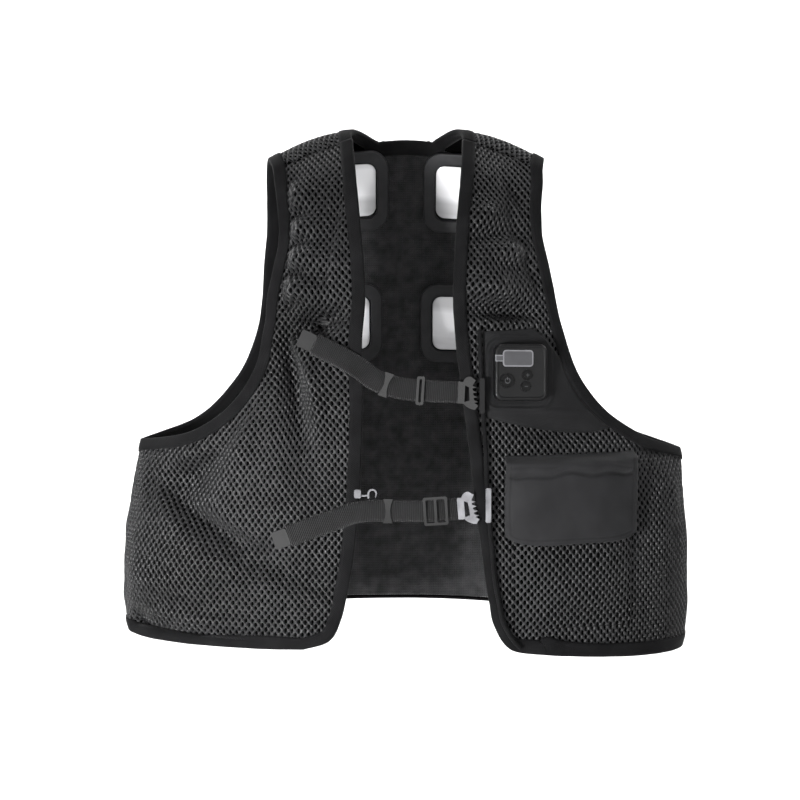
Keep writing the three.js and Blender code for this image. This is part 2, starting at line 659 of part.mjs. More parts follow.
// The back panel's grid, with the shoulder parts above row SHOULDER_ROWS
const SHOULDER_ROWS = 4;
const BACK_NECK_CELLS = 4;
function backGrid() {
  const underarm = BACK_UNDERARM;
  const tapeRow = advance(back, 1, underarm, TAPE_WIDTH);
  const hemRing = advance(back, 1, 1, -TAPE_WIDTH);
  const neckRow = advance(back, 0, 0, TAPE_WIDTH);
  const levels = [
    -1, ...steps(-1, 0, SHOULDER_ROWS), neckRow, ...steps(neckRow, underarm, 11, 1.4),
    tapeRow, ...steps(tapeRow, hemRing, SIDE_ROWS), 1,
  ];
  const zero = SHOULDER_ROWS;
  const under = levels.indexOf(underarm);
  const rows = levels.length;
  const shares = [...steps(0, 1, SEAM_CELLS)];
  const half = [
    ...Array.from({ length: BACK_NECK_CELLS / 2 }, (_, k) => NECK_SHARE * 2 * k / BACK_NECK_CELLS),
    NECK_SHARE,
    ...shares.map((share) => lerp(NECK_SHARE, 1, share)),
  ];
  const columns = [...half.slice(1).reverse().map((u) => -u), ...half];
  const middle = (columns.length - 1) / 2;
  const neck = BACK_NECK_CELLS / 2;
  const last = columns.length - 1;
  const grid = columns.map((u) => levels.map((v) => {
    const inTab = v < 0 && Math.abs(u) < NECK_SHARE - 1e-9;
    return spot(back, inTab ? Math.sign(u) * NECK_SHARE : u, v);
  }));
  const column = (i) => grid[i];
  [[0, 1], [last, -1]].forEach(([edge, step]) => {
    const line = column(edge);
    const side = step;
    const tabInner = middle - side * neck;
    const cells = SEAM_CELLS;
    for (let j = 0; j < rows; j += 1) {
      const centre = grid[edge + step * 3][j];
      const part = j <= under ? line.slice(0, under + 1) : line;
      let inward = outOf(part, j, centre).negate();
      if (j === under) {
        const down = line[j + 1].p.clone().sub(line[j].p).normalize();
        inward = inward.add(down).normalize();
      }
      const ring = walk(back, line[j], inward, TAPE_WIDTH);
      let start = grid[tabInner][j];
      let first = 0;
      if (j < zero) {
        const neckLine = grid[tabInner].slice(0, zero + 1);
        const outward = outOf(neckLine, j, centre).negate();
        start = walk(back, grid[tabInner][j], outward, TAPE_WIDTH);
        first = 1;
      } else if (j === zero) {
        const border = [grid[tabInner][zero - 1], grid[tabInner][zero], grid[tabInner + side][zero]];
        const turn = outOf(border.slice(0, 2), 1, centre).negate();
        start = walk(back, grid[tabInner][zero], turn, TAPE_WIDTH);
        first = 1;
      } else if (j === zero + 1) {
        const outSide = grid[tabInner - side][zero].p.clone().sub(grid[tabInner][zero].p).normalize();
        const down = grid[tabInner][zero + 1].p.clone().sub(grid[tabInner][zero].p).normalize();
        start = walk(back, grid[tabInner][zero], outSide.add(down).normalize(), TAPE_WIDTH);
        first = 1;
      }
      for (let k = first; k < cells; k += 1) {
        const share = (k - first) / (cells - 1 - first);
        const place = tabInner - side * k;
        grid[place][j] = spot(back, lerp(start.u, ring.u, share), lerp(start.v, ring.v, share));
      }
    }
  });
  const hem = grid.map((line) => line[rows - 1]);
  for (let i = 1; i < last; i += 1) {
    const up = outOf(hem, i, grid[i][rows - 3]).negate();
    grid[i][rows - 2] = walk(back, hem[i], up, TAPE_WIDTH);
  }
  const keep = (i, j) => j >= zero || i < middle - neck || i >= middle + neck;
  const cuts = new Map([
    [cell(0, under), false],
    [cell(last - 1, under), true],
    [cell(middle - neck - 1, zero), false],
    [cell(middle + neck, zero), true],
  ]);
  return { grid, keep, cuts, rows, zero, under, middle, neck, last };
}

const rear = backGrid();

// Two edges sewn together: they share their normals and keep an even gap
function joinSeam(first, second, insideFirst) {
  first.forEach((a, k) => {
    const b = second[k];
    const n = a.n.clone().add(b.n).normalize();
    const middle = a.p.clone().lerp(b.p, 0.5);
    a.middle = middle;
    a.n = n;
    b.n = n;
  });
  first.forEach((a, k) => {
    const before = first[Math.max(k - 1, 0)].middle;
    const after = first[Math.min(k + 1, first.length - 1)].middle;
    const across = after.clone().sub(before).cross(a.n).normalize();
    if (across.dot(insideFirst[k].p.clone().sub(a.middle)) > 0) across.negate();
    a.p = a.middle.clone().addScaledVector(across, -GAP / 2);
    second[k].p = a.middle.clone().addScaledVector(across, GAP / 2);
  });
}

const sides = [
  { name: 'right', front: fronts.right, edge: 0, step: 1 },
  { name: 'left', front: fronts.left, edge: rear.last, step: -1 },
];
for (const { front, edge, step } of sides) {
  const shoulderFront = front.grid.map((line) => line[0]);
  const shoulderBack = shoulderFront.map((_, k) => rear.grid[edge + step * (front.cells - k)][0]);
  joinSeam(shoulderFront, shoulderBack, front.grid.map((line) => line[1]));
  const sideFront = front.grid[front.cells].slice(front.under);
  const sideBack = rear.grid[edge].slice(rear.under);
  joinSeam(sideFront, sideBack, front.grid[front.cells - 1].slice(front.under));
  const panel = shell(front.grid, -WALL / 2, WALL / 2, () => true, front.cuts);
  add('front_panel_' + (step > 0 ? 'right' : 'left'), panel, 'mesh');
}
add('back_panel', shell(rear.grid, -WALL / 2, WALL / 2, rear.keep, rear.cuts), 'mesh');

// The tape round the neck, between the two shoulder seams
function neckPairs() {
  const { grid, zero, middle, neck } = rear;
  const pairs = [];
  const shoulderSide = (side) => {
    const line = middle + side * neck;
    const inside = line + side;
    const list = [];
    for (let j = 0; j < zero; j += 1) list.push([grid[line][j], grid[inside][j]]);
    const corner = grid[line][zero];
    list.push([corner, grid[inside][zero]]);
    list.push([corner, grid[inside][zero + 1]]);
    list.push([corner, grid[line][zero + 1]]);
    return list;
  };
  pairs.push(...shoulderSide(-1));
  for (let i = middle - neck + 1; i < middle + neck; i += 1) pairs.push([grid[i][zero], grid[i][zero + 1]]);
  pairs.push(...shoulderSide(1).reverse());
  return pairs;
}

// The tape down a front edge, round the lower corner and along the hem
function frontPairs({ grid, rows, cells }) {
  const pairs = [];
  for (let j = 0; j < rows - 1; j += 1) pairs.push([grid[0][j], grid[1][j]]);
  pairs.push([grid[0][rows - 1], grid[1][rows - 2]]);
  for (let i = 1; i <= cells; i += 1) pairs.push([grid[i][rows - 1], grid[i][rows - 2]]);
  return pairs;
}

// The closed loop of tape round an armhole
function armholePairs({ front, edge, step }) {
  const { grid, cells, under } = front;
  const pairs = [];
  for (let j = 0; j <= under; j += 1) pairs.push([grid[cells][j], grid[cells - 1][j]]);
  pairs.push([grid[cells][under], grid[cells][under + 1]]);
  const [line, inside] = [rear.grid[edge], rear.grid[edge + step]];
  pairs.push([line[rear.under], line[rear.under + 1]]);
  for (let j = rear.under; j >= 0; j -= 1) pairs.push([line[j], inside[j]]);
  return pairs;
}

add('neck_binding', foldedTape(neckPairs()), 'tape');
for (const side of sides) {
  add('front_binding_' + side.name, foldedTape(frontPairs(side.front)), 'tape');
  add('armhole_binding_' + side.name, foldedTape(armholePairs(side), true), 'tape');
}
const backHem = rear.grid.map((line) => [line[rear.rows - 1], line[rear.rows - 2]]);
add('back_hem_binding', foldedTape(backHem), 'tape');

// The fine cloth inside the back, between the tapes
function liningGrid() {
  const { grid, zero, middle, neck, last, rows } = rear;
  const keep = (i, j) => {
    const aside = i < middle - neck - 1 || i > middle + neck;
    return i > 0 && i < last - 1 && j >= 0 && j < rows - 2 && (j > zero || aside);
  };
  const sharing = (i, j, di, dj) => {
    const [a, b] = [Math.min(i, i + di), Math.min(j, j + dj)];
    const pair = di === 0 ? [[i - 1, b], [i, b]] : [[a, j - 1], [a, j]];
    return pair.filter(([m, n]) => keep(m, n)).length;
  };
  const inset = grid.map((line, i) => line.map((here, j) => {
    const ways = [[0, -1], [1, 0], [0, 1], [-1, 0]].filter(([di, dj]) => sharing(i, j, di, dj) === 1);
    if (ways.length !== 2) return here;
    const [before, after] = ways.map(([di, dj]) => grid[i + di][j + dj].p);
    const inwards = after.clone().sub(before).cross(here.n).normalize();
    const kept = [[-1, -1], [0, -1], [0, 0], [-1, 0]].filter(([a, b]) => keep(i + a, j + b));
    const middle = new THREE.Vector3();
    kept.forEach(([a, b]) => middle.add(grid[i + (a < 0 ? -1 : 1)][j + (b < 0 ? -1 : 1)].p));
    if (inwards.dot(middle.divideScalar(kept.length).sub(here.p)) < 0) inwards.negate();
    return { ...here, p: here.p.clone().addScaledVector(inwards, GAP * 1.4) };
  }));
  return { grid: inset, keep };
}
const lining = liningGrid();
const liningCuts = new Map(rear.cuts);
for (let i = 0; i < rear.last; i += 1) {
  for (let j = 0; j < rear.rows - 1; j += 1) {
    if (liningCuts.has(cell(i, j))) continue;
    const { grid } = rear;
    liningCuts.set(cell(i, j), shorter(grid[i][j], grid[i + 1][j], grid[i + 1][j + 1], grid[i][j + 1]));
  }
}
const LINING_BASE = -WALL / 2 - GAP;
const LINING_FACE = LINING_BASE - LINING;
add('back_lining', shell(lining.grid, LINING_FACE, LINING_BASE, lining.keep, liningCuts), 'lining');

// Points round a rounded rectangle, from the middle, as pairs across and up
function roundedLoop(width, height, corner, parts = 4) {
  const quarters = [[1, 1, 0], [-1, 1, 90], [-1, -1, 180], [1, -1, 270]];
  return quarters.flatMap(([sx, sz, start]) => Array.from({ length: parts + 1 }, (_, k) => {
    const angle = THREE.MathUtils.degToRad(start + 90 * k / parts);
    return [
      sx * (width / 2 - corner) + corner * Math.cos(angle),
      sz * (height / 2 - corner) + corner * Math.sin(angle),
    ];
  }));
}

// A plate with rounded corners and a bevelled edge, from z = 0 up
function roundedPlate({ width, height, corner, thick, bevel }) {
  const shape = new THREE.Shape();
  const points = roundedLoop(width - 2 * bevel, height - 2 * bevel, corner - bevel, corner > 5 ? 3 : 1);
  shape.setFromPoints(points.map(([x, y]) => new THREE.Vector2(x, y)));
  const plate = new THREE.ExtrudeGeometry(shape, {
    depth: thick - 2 * bevel,
    bevelThickness: bevel,
    bevelSize: bevel,
    bevelSegments: 1,
  });
  return plate.translate(0, 0, bevel);
}

// Turns and moves a piece so that its z axis follows facing and its x axis runs along
function seat(mesh, place, facing, along = new THREE.Vector3(1, 0, 0)) {
  const z = facing.clone().normalize();
  const x = along.clone().addScaledVector(z, -along.dot(z)).normalize();
  const y = z.clone().cross(x);
  mesh.quaternion.setFromRotationMatrix(new THREE.Matrix4().makeBasis(x, y, z));
  mesh.position.copy(place);
  return mesh;
}

// A cold plate's rubber frame, following the lining behind it
function gasket(x, z, lift, guess) {
  const inside = [PLATE.width + 2 * GASKET.groove, PLATE.height + 2 * GASKET.groove];
  const outside = inside.map((size) => size + 2 * GASKET.band);
  const flat = outside.map((size) => size - 2 * GASKET.chamfer);
  const loops = [
    roundedLoop(...inside, PLATE.corner + GASKET.groove, 3),
    roundedLoop(...outside, GASKET.corner, 3),
    roundedLoop(...flat, GASKET.corner - GASKET.chamfer, 3),
  ];
  const place = ([dx, dz]) => locate(back, x + dx, z + dz, guess);
  const base = LINING_FACE - lift;
  const rings = loops[0].map((_, k) => {
    const [inner, outer, brow] = loops.map((loop) => place(loop[k]));
    return [
      raised(inner, base),
      raised(outer, base),
      raised(outer, base - GASKET.thick + GASKET.chamfer),
      raised(brow, base - GASKET.thick),
      raised(inner, base - GASKET.thick),
    ];
  });
  return loft(rings, true);
}

UNITS.forEach(({ x, drop, lift, inner }, k) => {
  const z = -drop;
  const centre = locate(back, x, z, [Math.sign(x) * 0.25, drop / BODY_LENGTH]);
  add('plate_gasket_' + (k + 1), gasket(x, z, lift, [centre.u, centre.v]), 'rubber', 0.6);
  const plate = add('cold_plate_' + (k + 1), roundedPlate(PLATE), 'metal', 0.08, 1);
  seat(plate, raised(centre, LINING_FACE - SEAT - inner), centre.n.clone().negate());
});

// A grid laid on a surface between two named corners, by shares across and down
function laidGrid(surface, across, down, place) {
  return Array.from({ length: across + 1 }, (_, i) => (
    Array.from({ length: down + 1 }, (_, j) => place(i / across, j / down))
  ));
}

// The smooth cloth that the controller sits on
const PATCH_CELLS = [6, 6];
const PATCH_LIFT = WALL / 2 + PATCH.lift;
const patchInner = Math.max(...RAIL_ROUTE.map((row) => row.inside)) * TAPE_WIDTH + RAIL.radius + GAP * 4;
const patchGrid = laidGrid(leftSurface, ...PATCH_CELLS, (s, t) => {
  const top = PATCH.top + PATCH.corner * Math.max(0, s * 3 - 2) ** 2;
  const v = lerp(top, lerp(PATCH.bottomInner, PATCH.bottomOuter, s), t);
  const [edge, armhole] = [spot(leftSurface, 0, v), spot(leftSurface, 1, v)];
  const rim = [-0.02, 0, 0.02].map((step) => spot(leftSurface, 1, v + step));
  const inwards = outOf(rim, 1, edge).negate();
  const across = leftSurface.point(0.05, v).sub(edge.p).normalize();
  const inner = walk(leftSurface, edge, across, patchInner);
  const outer = walk(leftSurface, armhole, inwards, TAPE_WIDTH + PATCH.margin);
  return spot(leftSurface, lerp(inner.u, outer.u, s), lerp(inner.v, outer.v, s));
});
add('controller_patch', shell(patchGrid, PATCH_LIFT, PATCH_LIFT + PATCH.wall), 'patch', 0.7);

// The controller with its battery picture and keys
const controllerSpot = locate(leftSurface, CONTROLLER.side, -CONTROLLER.drop, [0.5, 0.44]);
const controllerBase = PATCH_LIFT + PATCH.wall + GAP;
const body = add('controller_body', roundedPlate(CONTROLLER), 'plastic', 0.5);
seat(body, raised(controllerSpot, controllerBase), controllerSpot.n);
const controls = new THREE.Group();
seat(controls, raised(controllerSpot, controllerBase + CONTROLLER.thick + GAP), controllerSpot.n);
group.add(controls);

function batteryShape() {
  const { width, height, corner, stub, stubHeight } = BATTERY;
  const shape = new THREE.Shape();
  const [w, h] = [width / 2, height / 2];
  shape.moveTo(w, -h + corner);
  shape.absarc(w - corner, h - corner, corner, 0, Math.PI / 2);
  shape.absarc(-w + corner, h - corner, corner, Math.PI / 2, Math.PI);
  shape.lineTo(-w, stubHeight / 2);
  shape.lineTo(-w - stub, stubHeight / 2);
  shape.lineTo(-w - stub, -stubHeight / 2);
  shape.lineTo(-w, -stubHeight / 2);
  shape.absarc(-w + corner, -h + corner, corner, Math.PI, Math.PI * 1.5);
  shape.absarc(w - corner, -h + corner, corner, Math.PI * 1.5, Math.PI * 2);
  return shape;
}

// Adds a raised shape to the controller's face, placed from the middle of its top edge
function control(name, shape, thick, side, drop, colour) {
  const options = { depth: thick, bevelEnabled: false, curveSegments: 4 };
  const mesh = add(name, new THREE.ExtrudeGeometry(shape, options), colour, 0.5);
  mesh.position.set(side, CONTROLLER.height / 2 - drop, 0);
  controls.add(mesh);
}
const disc = (radius) => new THREE.Shape().absarc(0, 0, radius, 0, Math.PI * 2);
control('controller_display', batteryShape(), BATTERY.thick, BATTERY.side, BATTERY.drop, 'display');
KEYS.forEach(({ name, radius, side, drop }) => {
  control(name, disc(radius), KEY_THICK, side, drop, 'plastic');
});

// The pocket's mesh bag, sewn down at its sides and foot and open at the top
const POCKET_CELLS = [8, 9];
const onLeft = (x, drop) => locate(leftSurface, x, -drop, [0.45, 0.8]);
const pocketGrid = laidGrid(leftSurface, ...POCKET_CELLS, (s, t) => (
  onLeft(lerp(POCKET.left, POCKET.right, s), lerp(POCKET.top, POCKET.bottom, t))
));
const round = (s) => 1 - Math.abs(2 * s - 1) ** 4;
const pocketHeight = (s, t) => WALL / 2 + SEAT + POCKET.full * round(s) * (1 - t ** 4) * lerp(1, 0.8, t);
const pocketLow = (i, j) => pocketHeight(i / POCKET_CELLS[0], j / POCKET_CELLS[1]);
const pocketHigh = (i, j) => pocketLow(i, j) + POCKET.wall;
add('pocket_body', shell(pocketGrid, pocketLow, pocketHigh), 'mesh');

// The pocket's flap, sewn to the panel above the mouth and lying over the bag
const FLAP_CELLS = [8, 6];
const flapGrid = laidGrid(leftSurface, ...FLAP_CELLS, (s, t) => {
  const roundedFoot = 0.10 * Math.abs(2 * s - 1) ** 6;
  const drop = lerp(FLAP.top, FLAP.bottom, t ** FLAP.crowd * (1 - roundedFoot));
  return onLeft(lerp(FLAP.left, FLAP.right, s), drop);
});
const flapLow = (i, j) => {
  const [s, t] = [i / FLAP_CELLS[0], (j / FLAP_CELLS[1]) ** FLAP.crowd];
  const risen = smooth(t, 0, FLAP.rise);
  const over = POCKET.full * lerp(round(s), 1, 0.35) + POCKET.wall + FLAP.clear;
  return WALL / 2 + SEAT + risen * over;
};
const flapHigh = (i, j) => flapLow(i, j) + FLAP.wall;
add('pocket_flap', shell(flapGrid, flapLow, flapHigh), 'patch', 0.75);

// The rail down the left front edge, a corded tube sewn over the tape
const RAIL_LIFT = WALL / 2 + GAP + TAPE + SEAT + RAIL.radius;
function railPlace(down) {
  const last = RAIL_ROUTE.length - 1;
  const place = clamp(down, 0, 1) * last;
  const v = between(RAIL_ROUTE, 'down', place);
  const edge = spot(leftSurface, 0, v);
  const inwards = leftSurface.point(0.05, v).sub(edge.p).normalize();
  return walk(leftSurface, edge, inwards, between(RAIL_ROUTE, 'inside', place) * TAPE_WIDTH);
}
const railStop = (_, k) => raised(railPlace(k / RAIL.steps), RAIL_LIFT);
const railPoints = Array.from({ length: RAIL.steps + 1 }, railStop);
add('rail', new THREE.ExtrudeGeometry(new THREE.Shape().absarc(0, 0, RAIL.radius, 0, Math.PI * 2), {
  extrudePath: new THREE.CatmullRomCurve3(railPoints),
  steps: RAIL.steps,
  curveSegments: 4,
  bevelEnabled: false,
}), 'tape');

// A strap's stations: the middle of the webbing with its facing and its direction
const STRAP_LIFT = WALL / 2 + GAP + TAPE + WEBBING.thick / 2 + WEBBING.ease;
function strapStations(route) {
  const { plain, height } = rightSurface;
  const stations = route.map(({ x, z, over }) => {
    const [px, pz] = [x * CHEST_HALF, -z * BODY_LENGTH];
    if (over === 'right') {
      const at = locate(plain, px, pz, [0.3, z]);
      const half = WEBBING.width / BODY_LENGTH / 2;
      const folds = [-1, -0.5, 0, 0.5, 1].map((k) => height(at.u, at.v + k * half));
      return { p: raised(at, STRAP_LIFT + Math.max(...folds)), n: at.n.clone() };
    }
    return { p: new THREE.Vector3(px, null, pz), n: new THREE.Vector3(0, -1, 0) };
  });
  const landed = stations.filter((at, k) => route[k].over === 'right');
  const from = landed[landed.length - 1].p;
  const end = route[route.length - 1];
  const edge = spot(leftSurface, 0, end.z * 0.98);
  const to = raised(edge, STRAP_LIFT);
  stations.forEach((at, k) => {
    if (route[k].over !== 'none') return;
    at.p.y = lerp(from.y, to.y, (at.p.x - from.x) / (to.x - from.x));
  });
  return stations;
}

// Places along a strap, by the share of its length
function strapCurve(stations) {
  const curve = new THREE.CatmullRomCurve3(stations.map((at) => at.p), false, 'centripetal');
  const facing = new THREE.CatmullRomCurve3(stations.map((at) => at.n));
  return (share) => {
    const n = facing.getPoint(curve.getUtoTmapping(share)).normalize();
    const along = curve.getTangentAt(share);
    n.addScaledVector(along, -n.dot(along)).normalize();
    return { p: curve.getPointAt(share), n, along, up: n.clone().cross(along) };
  };
}

// A flat band along a strap between two shares of its length
function band(at, from, to, count, width, thick, lift = 0) {
  const rings = [0, ...steps(0, 1, count)].map((share) => {
    const { p, n, up } = at(lerp(from, to, share));
    const corners = [[-1, -1], [1, -1], [1, 1], [-1, 1]];
    return corners.map(([a, b]) => p.clone()
      .addScaledVector(up, a * width / 2)
      .addScaledVector(n, b * thick / 2 + lift));
  });
  return loft(rings);
}

// A keeper that grips the webbing, narrow in the middle and wide at its two ends
function keeperLoop({ p, n, along, up }) {
  const across = WEBBING.width / 2 + GAP;
  const deep = WEBBING.thick / 2 + GAP;
  const stops = [
    [1, 1, 1], [0.5, 1, 0.25], [0, 1, 0], [-0.5, 1, 0.25], [-1, 1, 1],
    [-1, -1, 1], [-0.5, -1, 0.25], [0, -1, 0], [0.5, -1, 0.25], [1, -1, 1],
  ];
  const rings = stops.map(([a, b, wide]) => {
    const half = lerp(KEEPER.waist, KEEPER.length, wide) / 2;
    const sideways = Math.abs(a) === 1 ? KEEPER.thick * a : 0;
    const corner = (end, out) => p.clone()
      .addScaledVector(up, a * across + out * sideways)
      .addScaledVector(n, b * (deep + out * KEEPER.thick))
      .addScaledVector(along, end * half);
    return [corner(-1, 0), corner(1, 0), corner(1, 1), corner(-1, 1)];
  });
  return loft(rings, true);
}

// An adjuster's frame with a bar down its middle, lying on the webbing
function adjusterFrame(width) {
  const height = WEBBING.width + 2 * ADJUSTER.over;
  const shape = new THREE.Shape();
  shape.setFromPoints(roundedLoop(width, height, 2, 2).map(([x, y]) => new THREE.Vector2(x, y)));
  const inner = width - 2 * ADJUSTER.bar;
  const windows = inner > 12 ? [-1, 1] : [0];
  windows.forEach((side) => {
    const w = windows.length === 2 ? (inner - ADJUSTER.bar) / 2 : inner;
    const hole = new THREE.Path();
    const middle = side * (w + ADJUSTER.bar) / 2;
    const high = height - 2 * ADJUSTER.bar;
    const corners = roundedLoop(w, high, 1, 1).reverse();
    hole.setFromPoints(corners.map(([x, y]) => new THREE.Vector2(middle + x, y)));
    shape.holes.push(hole);
  });
  return new THREE.ExtrudeGeometry(shape, { depth: ADJUSTER.thick, bevelEnabled: false });
}

// The hook: a plate that the webbing ends on and a curved bar with a comb of teeth
const HOOK_TEETH = 4;
function hookShape() {
  const { height, width, plate } = HOOK;
  const half = height / 2;
  const arm = WEBBING.width / 2;
  const shape = new THREE.Shape();
  shape.moveTo(-plate, -arm);
  shape.lineTo(0, -arm);
  shape.quadraticCurveTo(width * 0.35, -half, width * 0.8, -half);
  shape.lineTo(width, -half + 5);
  for (let k = 0; k < HOOK_TEETH; k += 1) {
    const low = lerp(-half + 8, half - 8, k / HOOK_TEETH);
    const high = lerp(-half + 8, half - 8, (k + 0.55) / HOOK_TEETH);
    const inward = width * lerp(0.72, 0.5, k / HOOK_TEETH);
    shape.lineTo(inward, low);
    shape.lineTo(inward + 4.5, low + 1.2);
    shape.lineTo(inward, high);
  }
  shape.lineTo(width * 0.75, half - 4);
  shape.lineTo(width * 0.4, half);
  shape.quadraticCurveTo(0, half, -plate * 0.2, arm);
  shape.lineTo(-plate, arm);
  const slot = new THREE.Path();
  slot.moveTo(1, -arm + 2);
  slot.lineTo(1, arm - 4);
  slot.lineTo(width * 0.32, arm - 6);
  slot.lineTo(width * 0.4, -arm + 4);
  shape.holes.push(slot);
  return shape;
}

const strapRoutes = { upper: STRAP_UPPER, lower: STRAP_LOWER };
for (const [name, route] of Object.entries(strapRoutes)) {
  const fit = FITTINGS[name];
  const at = strapCurve(strapStations(route));
  const start = at(0);
  const finish = at(1);
  const webbingCount = route.length * 2;
  add('strap_' + name, band(at, 0, 1, webbingCount, WEBBING.width, WEBBING.thick), 'webbing');
  const tabMesh = add('strap_end_' + name, roundedPlate({
    width: TAB.length, height: TAB.width, corner: 1.5, thick: TAB.thick, bevel: 0.3,
  }), 'webbing', 0.6);
  const tabPlace = start.p.clone().addScaledVector(start.along, -TAB.length / 2 - GAP)
    .addScaledVector(start.n, -TAB.thick / 2);
  seat(tabMesh, tabPlace, start.n, start.along);
  add('keeper_' + name, keeperLoop(at(fit.keeper)), 'hardware', 0.35);
  const onStrap = at(fit.adjuster);
  const adjuster = add('adjuster_' + name, adjusterFrame(fit.frame), 'hardware', 0.35);
  const adjusterPlace = onStrap.p.clone().addScaledVector(onStrap.n, WEBBING.thick / 2 + GAP);
  seat(adjuster, adjusterPlace, onStrap.n, onStrap.along);
  const hook = add('hook_' + name, new THREE.ExtrudeGeometry(hookShape(), {
    depth: HOOK.thick, bevelEnabled: false, curveSegments: 4,
  }), 'hardware', 0.2);
  const hookPlace = finish.p.clone().addScaledVector(finish.along, HOOK.plate + GAP)
    .addScaledVector(finish.n, -HOOK.thick / 2);
  seat(hook, hookPlace, finish.n, finish.along);
  const slider = add('slider_' + name, roundedPlate({ ...SLIDER, bevel: 0.5 }), 'hardware', 0.25);
  const railSpot = railPlace(fit.rail);
  const sliderPlace = raised(railSpot, RAIL_LIFT + RAIL.radius + GAP);
  seat(slider, sliderPlace, railSpot.n);
}

// The small clip on the right front edge above the lower strap, and the loop beside it
function loopShape() {
  const { wire, loopWidth, loopHeight, bar } = CLIP;
  const [half, high] = [loopWidth / 2, loopHeight - loopWidth / 2];
  const shape = new THREE.Shape();
  shape.moveTo(half, 0);
  shape.absarc(0, high, half, 0, Math.PI);
  shape.lineTo(-half, high * 0.75);
  shape.lineTo(-half - bar, high * 0.75);
  shape.lineTo(-half - bar, high * 0.75 - wire);
  shape.lineTo(-half, high * 0.75 - wire);
  shape.lineTo(-half, 0);
  shape.lineTo(-half + wire, 0);
  shape.absarc(0, high, half - wire, Math.PI, 0, true);
  shape.lineTo(half - wire, 0);
  return shape;
}
const clipTop = -STRAP_LOWER[4].z * BODY_LENGTH + WEBBING.width / 2 + CLIP.above;
const clipSpot = locate(rightSurface, -CLIP_SIDE, clipTop + CLIP.height / 2, [0.02, 0.6]);
const clip = add('edge_clip', roundedPlate({ ...CLIP, corner: 1.5, bevel: 0.4 }), 'clip', 0.4);
seat(clip, raised(clipSpot, WALL / 2 + TAPE_GAP + TAPE + GAP), clipSpot.n);
const loop = add('edge_loop', new THREE.ExtrudeGeometry(loopShape(), {
  depth: CLIP.wire, bevelEnabled: false, curveSegments: 6,
}), 'clip', 0.4);
const loopPlace = clip.position.clone().addScaledVector(clipSpot.n, GAP);
loopPlace.x += CLIP.width / 2 + GAP + CLIP.bar + CLIP.loopWidth / 2;
loopPlace.z = clipTop;
seat(loop, loopPlace, clipSpot.n);

export default group;
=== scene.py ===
"""A cooling vest, as worn and fastened: cloth, net, tapes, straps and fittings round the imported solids"""

import math

import bmesh
import bpy
import numpy as np
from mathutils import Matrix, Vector


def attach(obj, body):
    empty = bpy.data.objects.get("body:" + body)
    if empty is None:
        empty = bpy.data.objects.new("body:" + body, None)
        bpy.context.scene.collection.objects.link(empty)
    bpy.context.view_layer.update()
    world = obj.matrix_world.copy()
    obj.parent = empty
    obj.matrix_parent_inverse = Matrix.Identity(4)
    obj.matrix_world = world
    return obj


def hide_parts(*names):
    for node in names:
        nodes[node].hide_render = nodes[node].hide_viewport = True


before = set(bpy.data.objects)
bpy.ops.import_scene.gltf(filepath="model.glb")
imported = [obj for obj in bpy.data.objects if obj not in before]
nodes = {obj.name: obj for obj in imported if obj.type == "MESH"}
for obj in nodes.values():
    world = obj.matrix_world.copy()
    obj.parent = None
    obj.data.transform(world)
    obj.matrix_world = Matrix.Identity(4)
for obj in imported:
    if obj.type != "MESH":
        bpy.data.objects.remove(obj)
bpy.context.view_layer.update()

MM = 0.001

# Driving sizes in millimetres, the same as the solids'
CHEST_HALF = 336
BODY_LENGTH = 588
HALF_DEPTH = 108
WALL = 4
LINING = 1
GAP = 0.4
SEAT = 0.8
TAPE = 1
TAPE_GAP = 0.6
TAPE_REACH = 0.7
TAPE_WIDTH = 13
NECK_SHARE = 0.2
LEVEL_SPAN = 0.12
RIDGE = {"neck_x": 0.2, "neck_z": -0.007, "tip_x": 0.479, "tip_z": 0.045, "y": 0.09, "crown": 0.01}
LEAN = (0.25, 0.7)
PLATE = {"width": 56, "height": 66, "thick": 2.4, "corner": 11, "bevel": 0.7}
GASKET = {"band": 14, "thick": 5.4, "groove": 2, "corner": 22, "round": 1.8, "inner_round": 0.9}
UNITS = [
    {"x": -66, "drop": 61, "lift": 2.8},
    {"x": 66, "drop": 64, "lift": 2.8},
    {"x": -74, "drop": 226, "lift": 1.2},
    {"x": 62, "drop": 227, "lift": 1.2},
]
CONTROLLER = {"width": 62, "height": 65, "thick": 12, "corner": 9, "bevel": 2.6}
PATCH = {"wall": 1.2, "lift": 0.9, "top": 0.358, "bottom_inner": 0.468, "bottom_outer": 0.515, "corner": 0.05}
BATTERY = {"width": 36, "height": 19, "corner": 4, "stub": 9, "stub_height": 7.5, "drop": 16.5, "side": -4.4}
BATTERY_LINE = {"case": 1.5, "stub": 1.2}
KEYS = {"power_key": (8.4, -17, 42), "plus_key": (5.8, 7, 35.5), "minus_key": (5.8, 5.2, 48.5)}
SYMBOL = {"line": 0.6, "arm": 1.9, "ring": (3.2, 2.6), "stem": (0.8, 3.8)}
POCKET = {"left": 124, "right": 261, "top": 376, "bottom": 566, "full": 13, "wall": 1.4, "hidden": 60}
FLAP = {"left": 113, "right": 264, "top": 364, "bottom": 466, "cloth": 1, "clear": 2, "rise": 0.1}
WEBBING = {"width": 25, "thick": 1.5, "cloth": 1.4, "rim": 0.35, "ease": 1}
RAIL = {"radius": 2.6}
STITCH = {"step": 4.4, "sides": 6}

# The net: holes stand upright in staggered rows
NET = {"across": 7.8, "row": 4.9, "hole_wide": 3.1, "hole_high": 5.5, "top": 2.0, "rim": 1.25, "floor": -0.6}
NET_MARGIN = 0.012
BACKING = (-WALL / 2, -0.45)

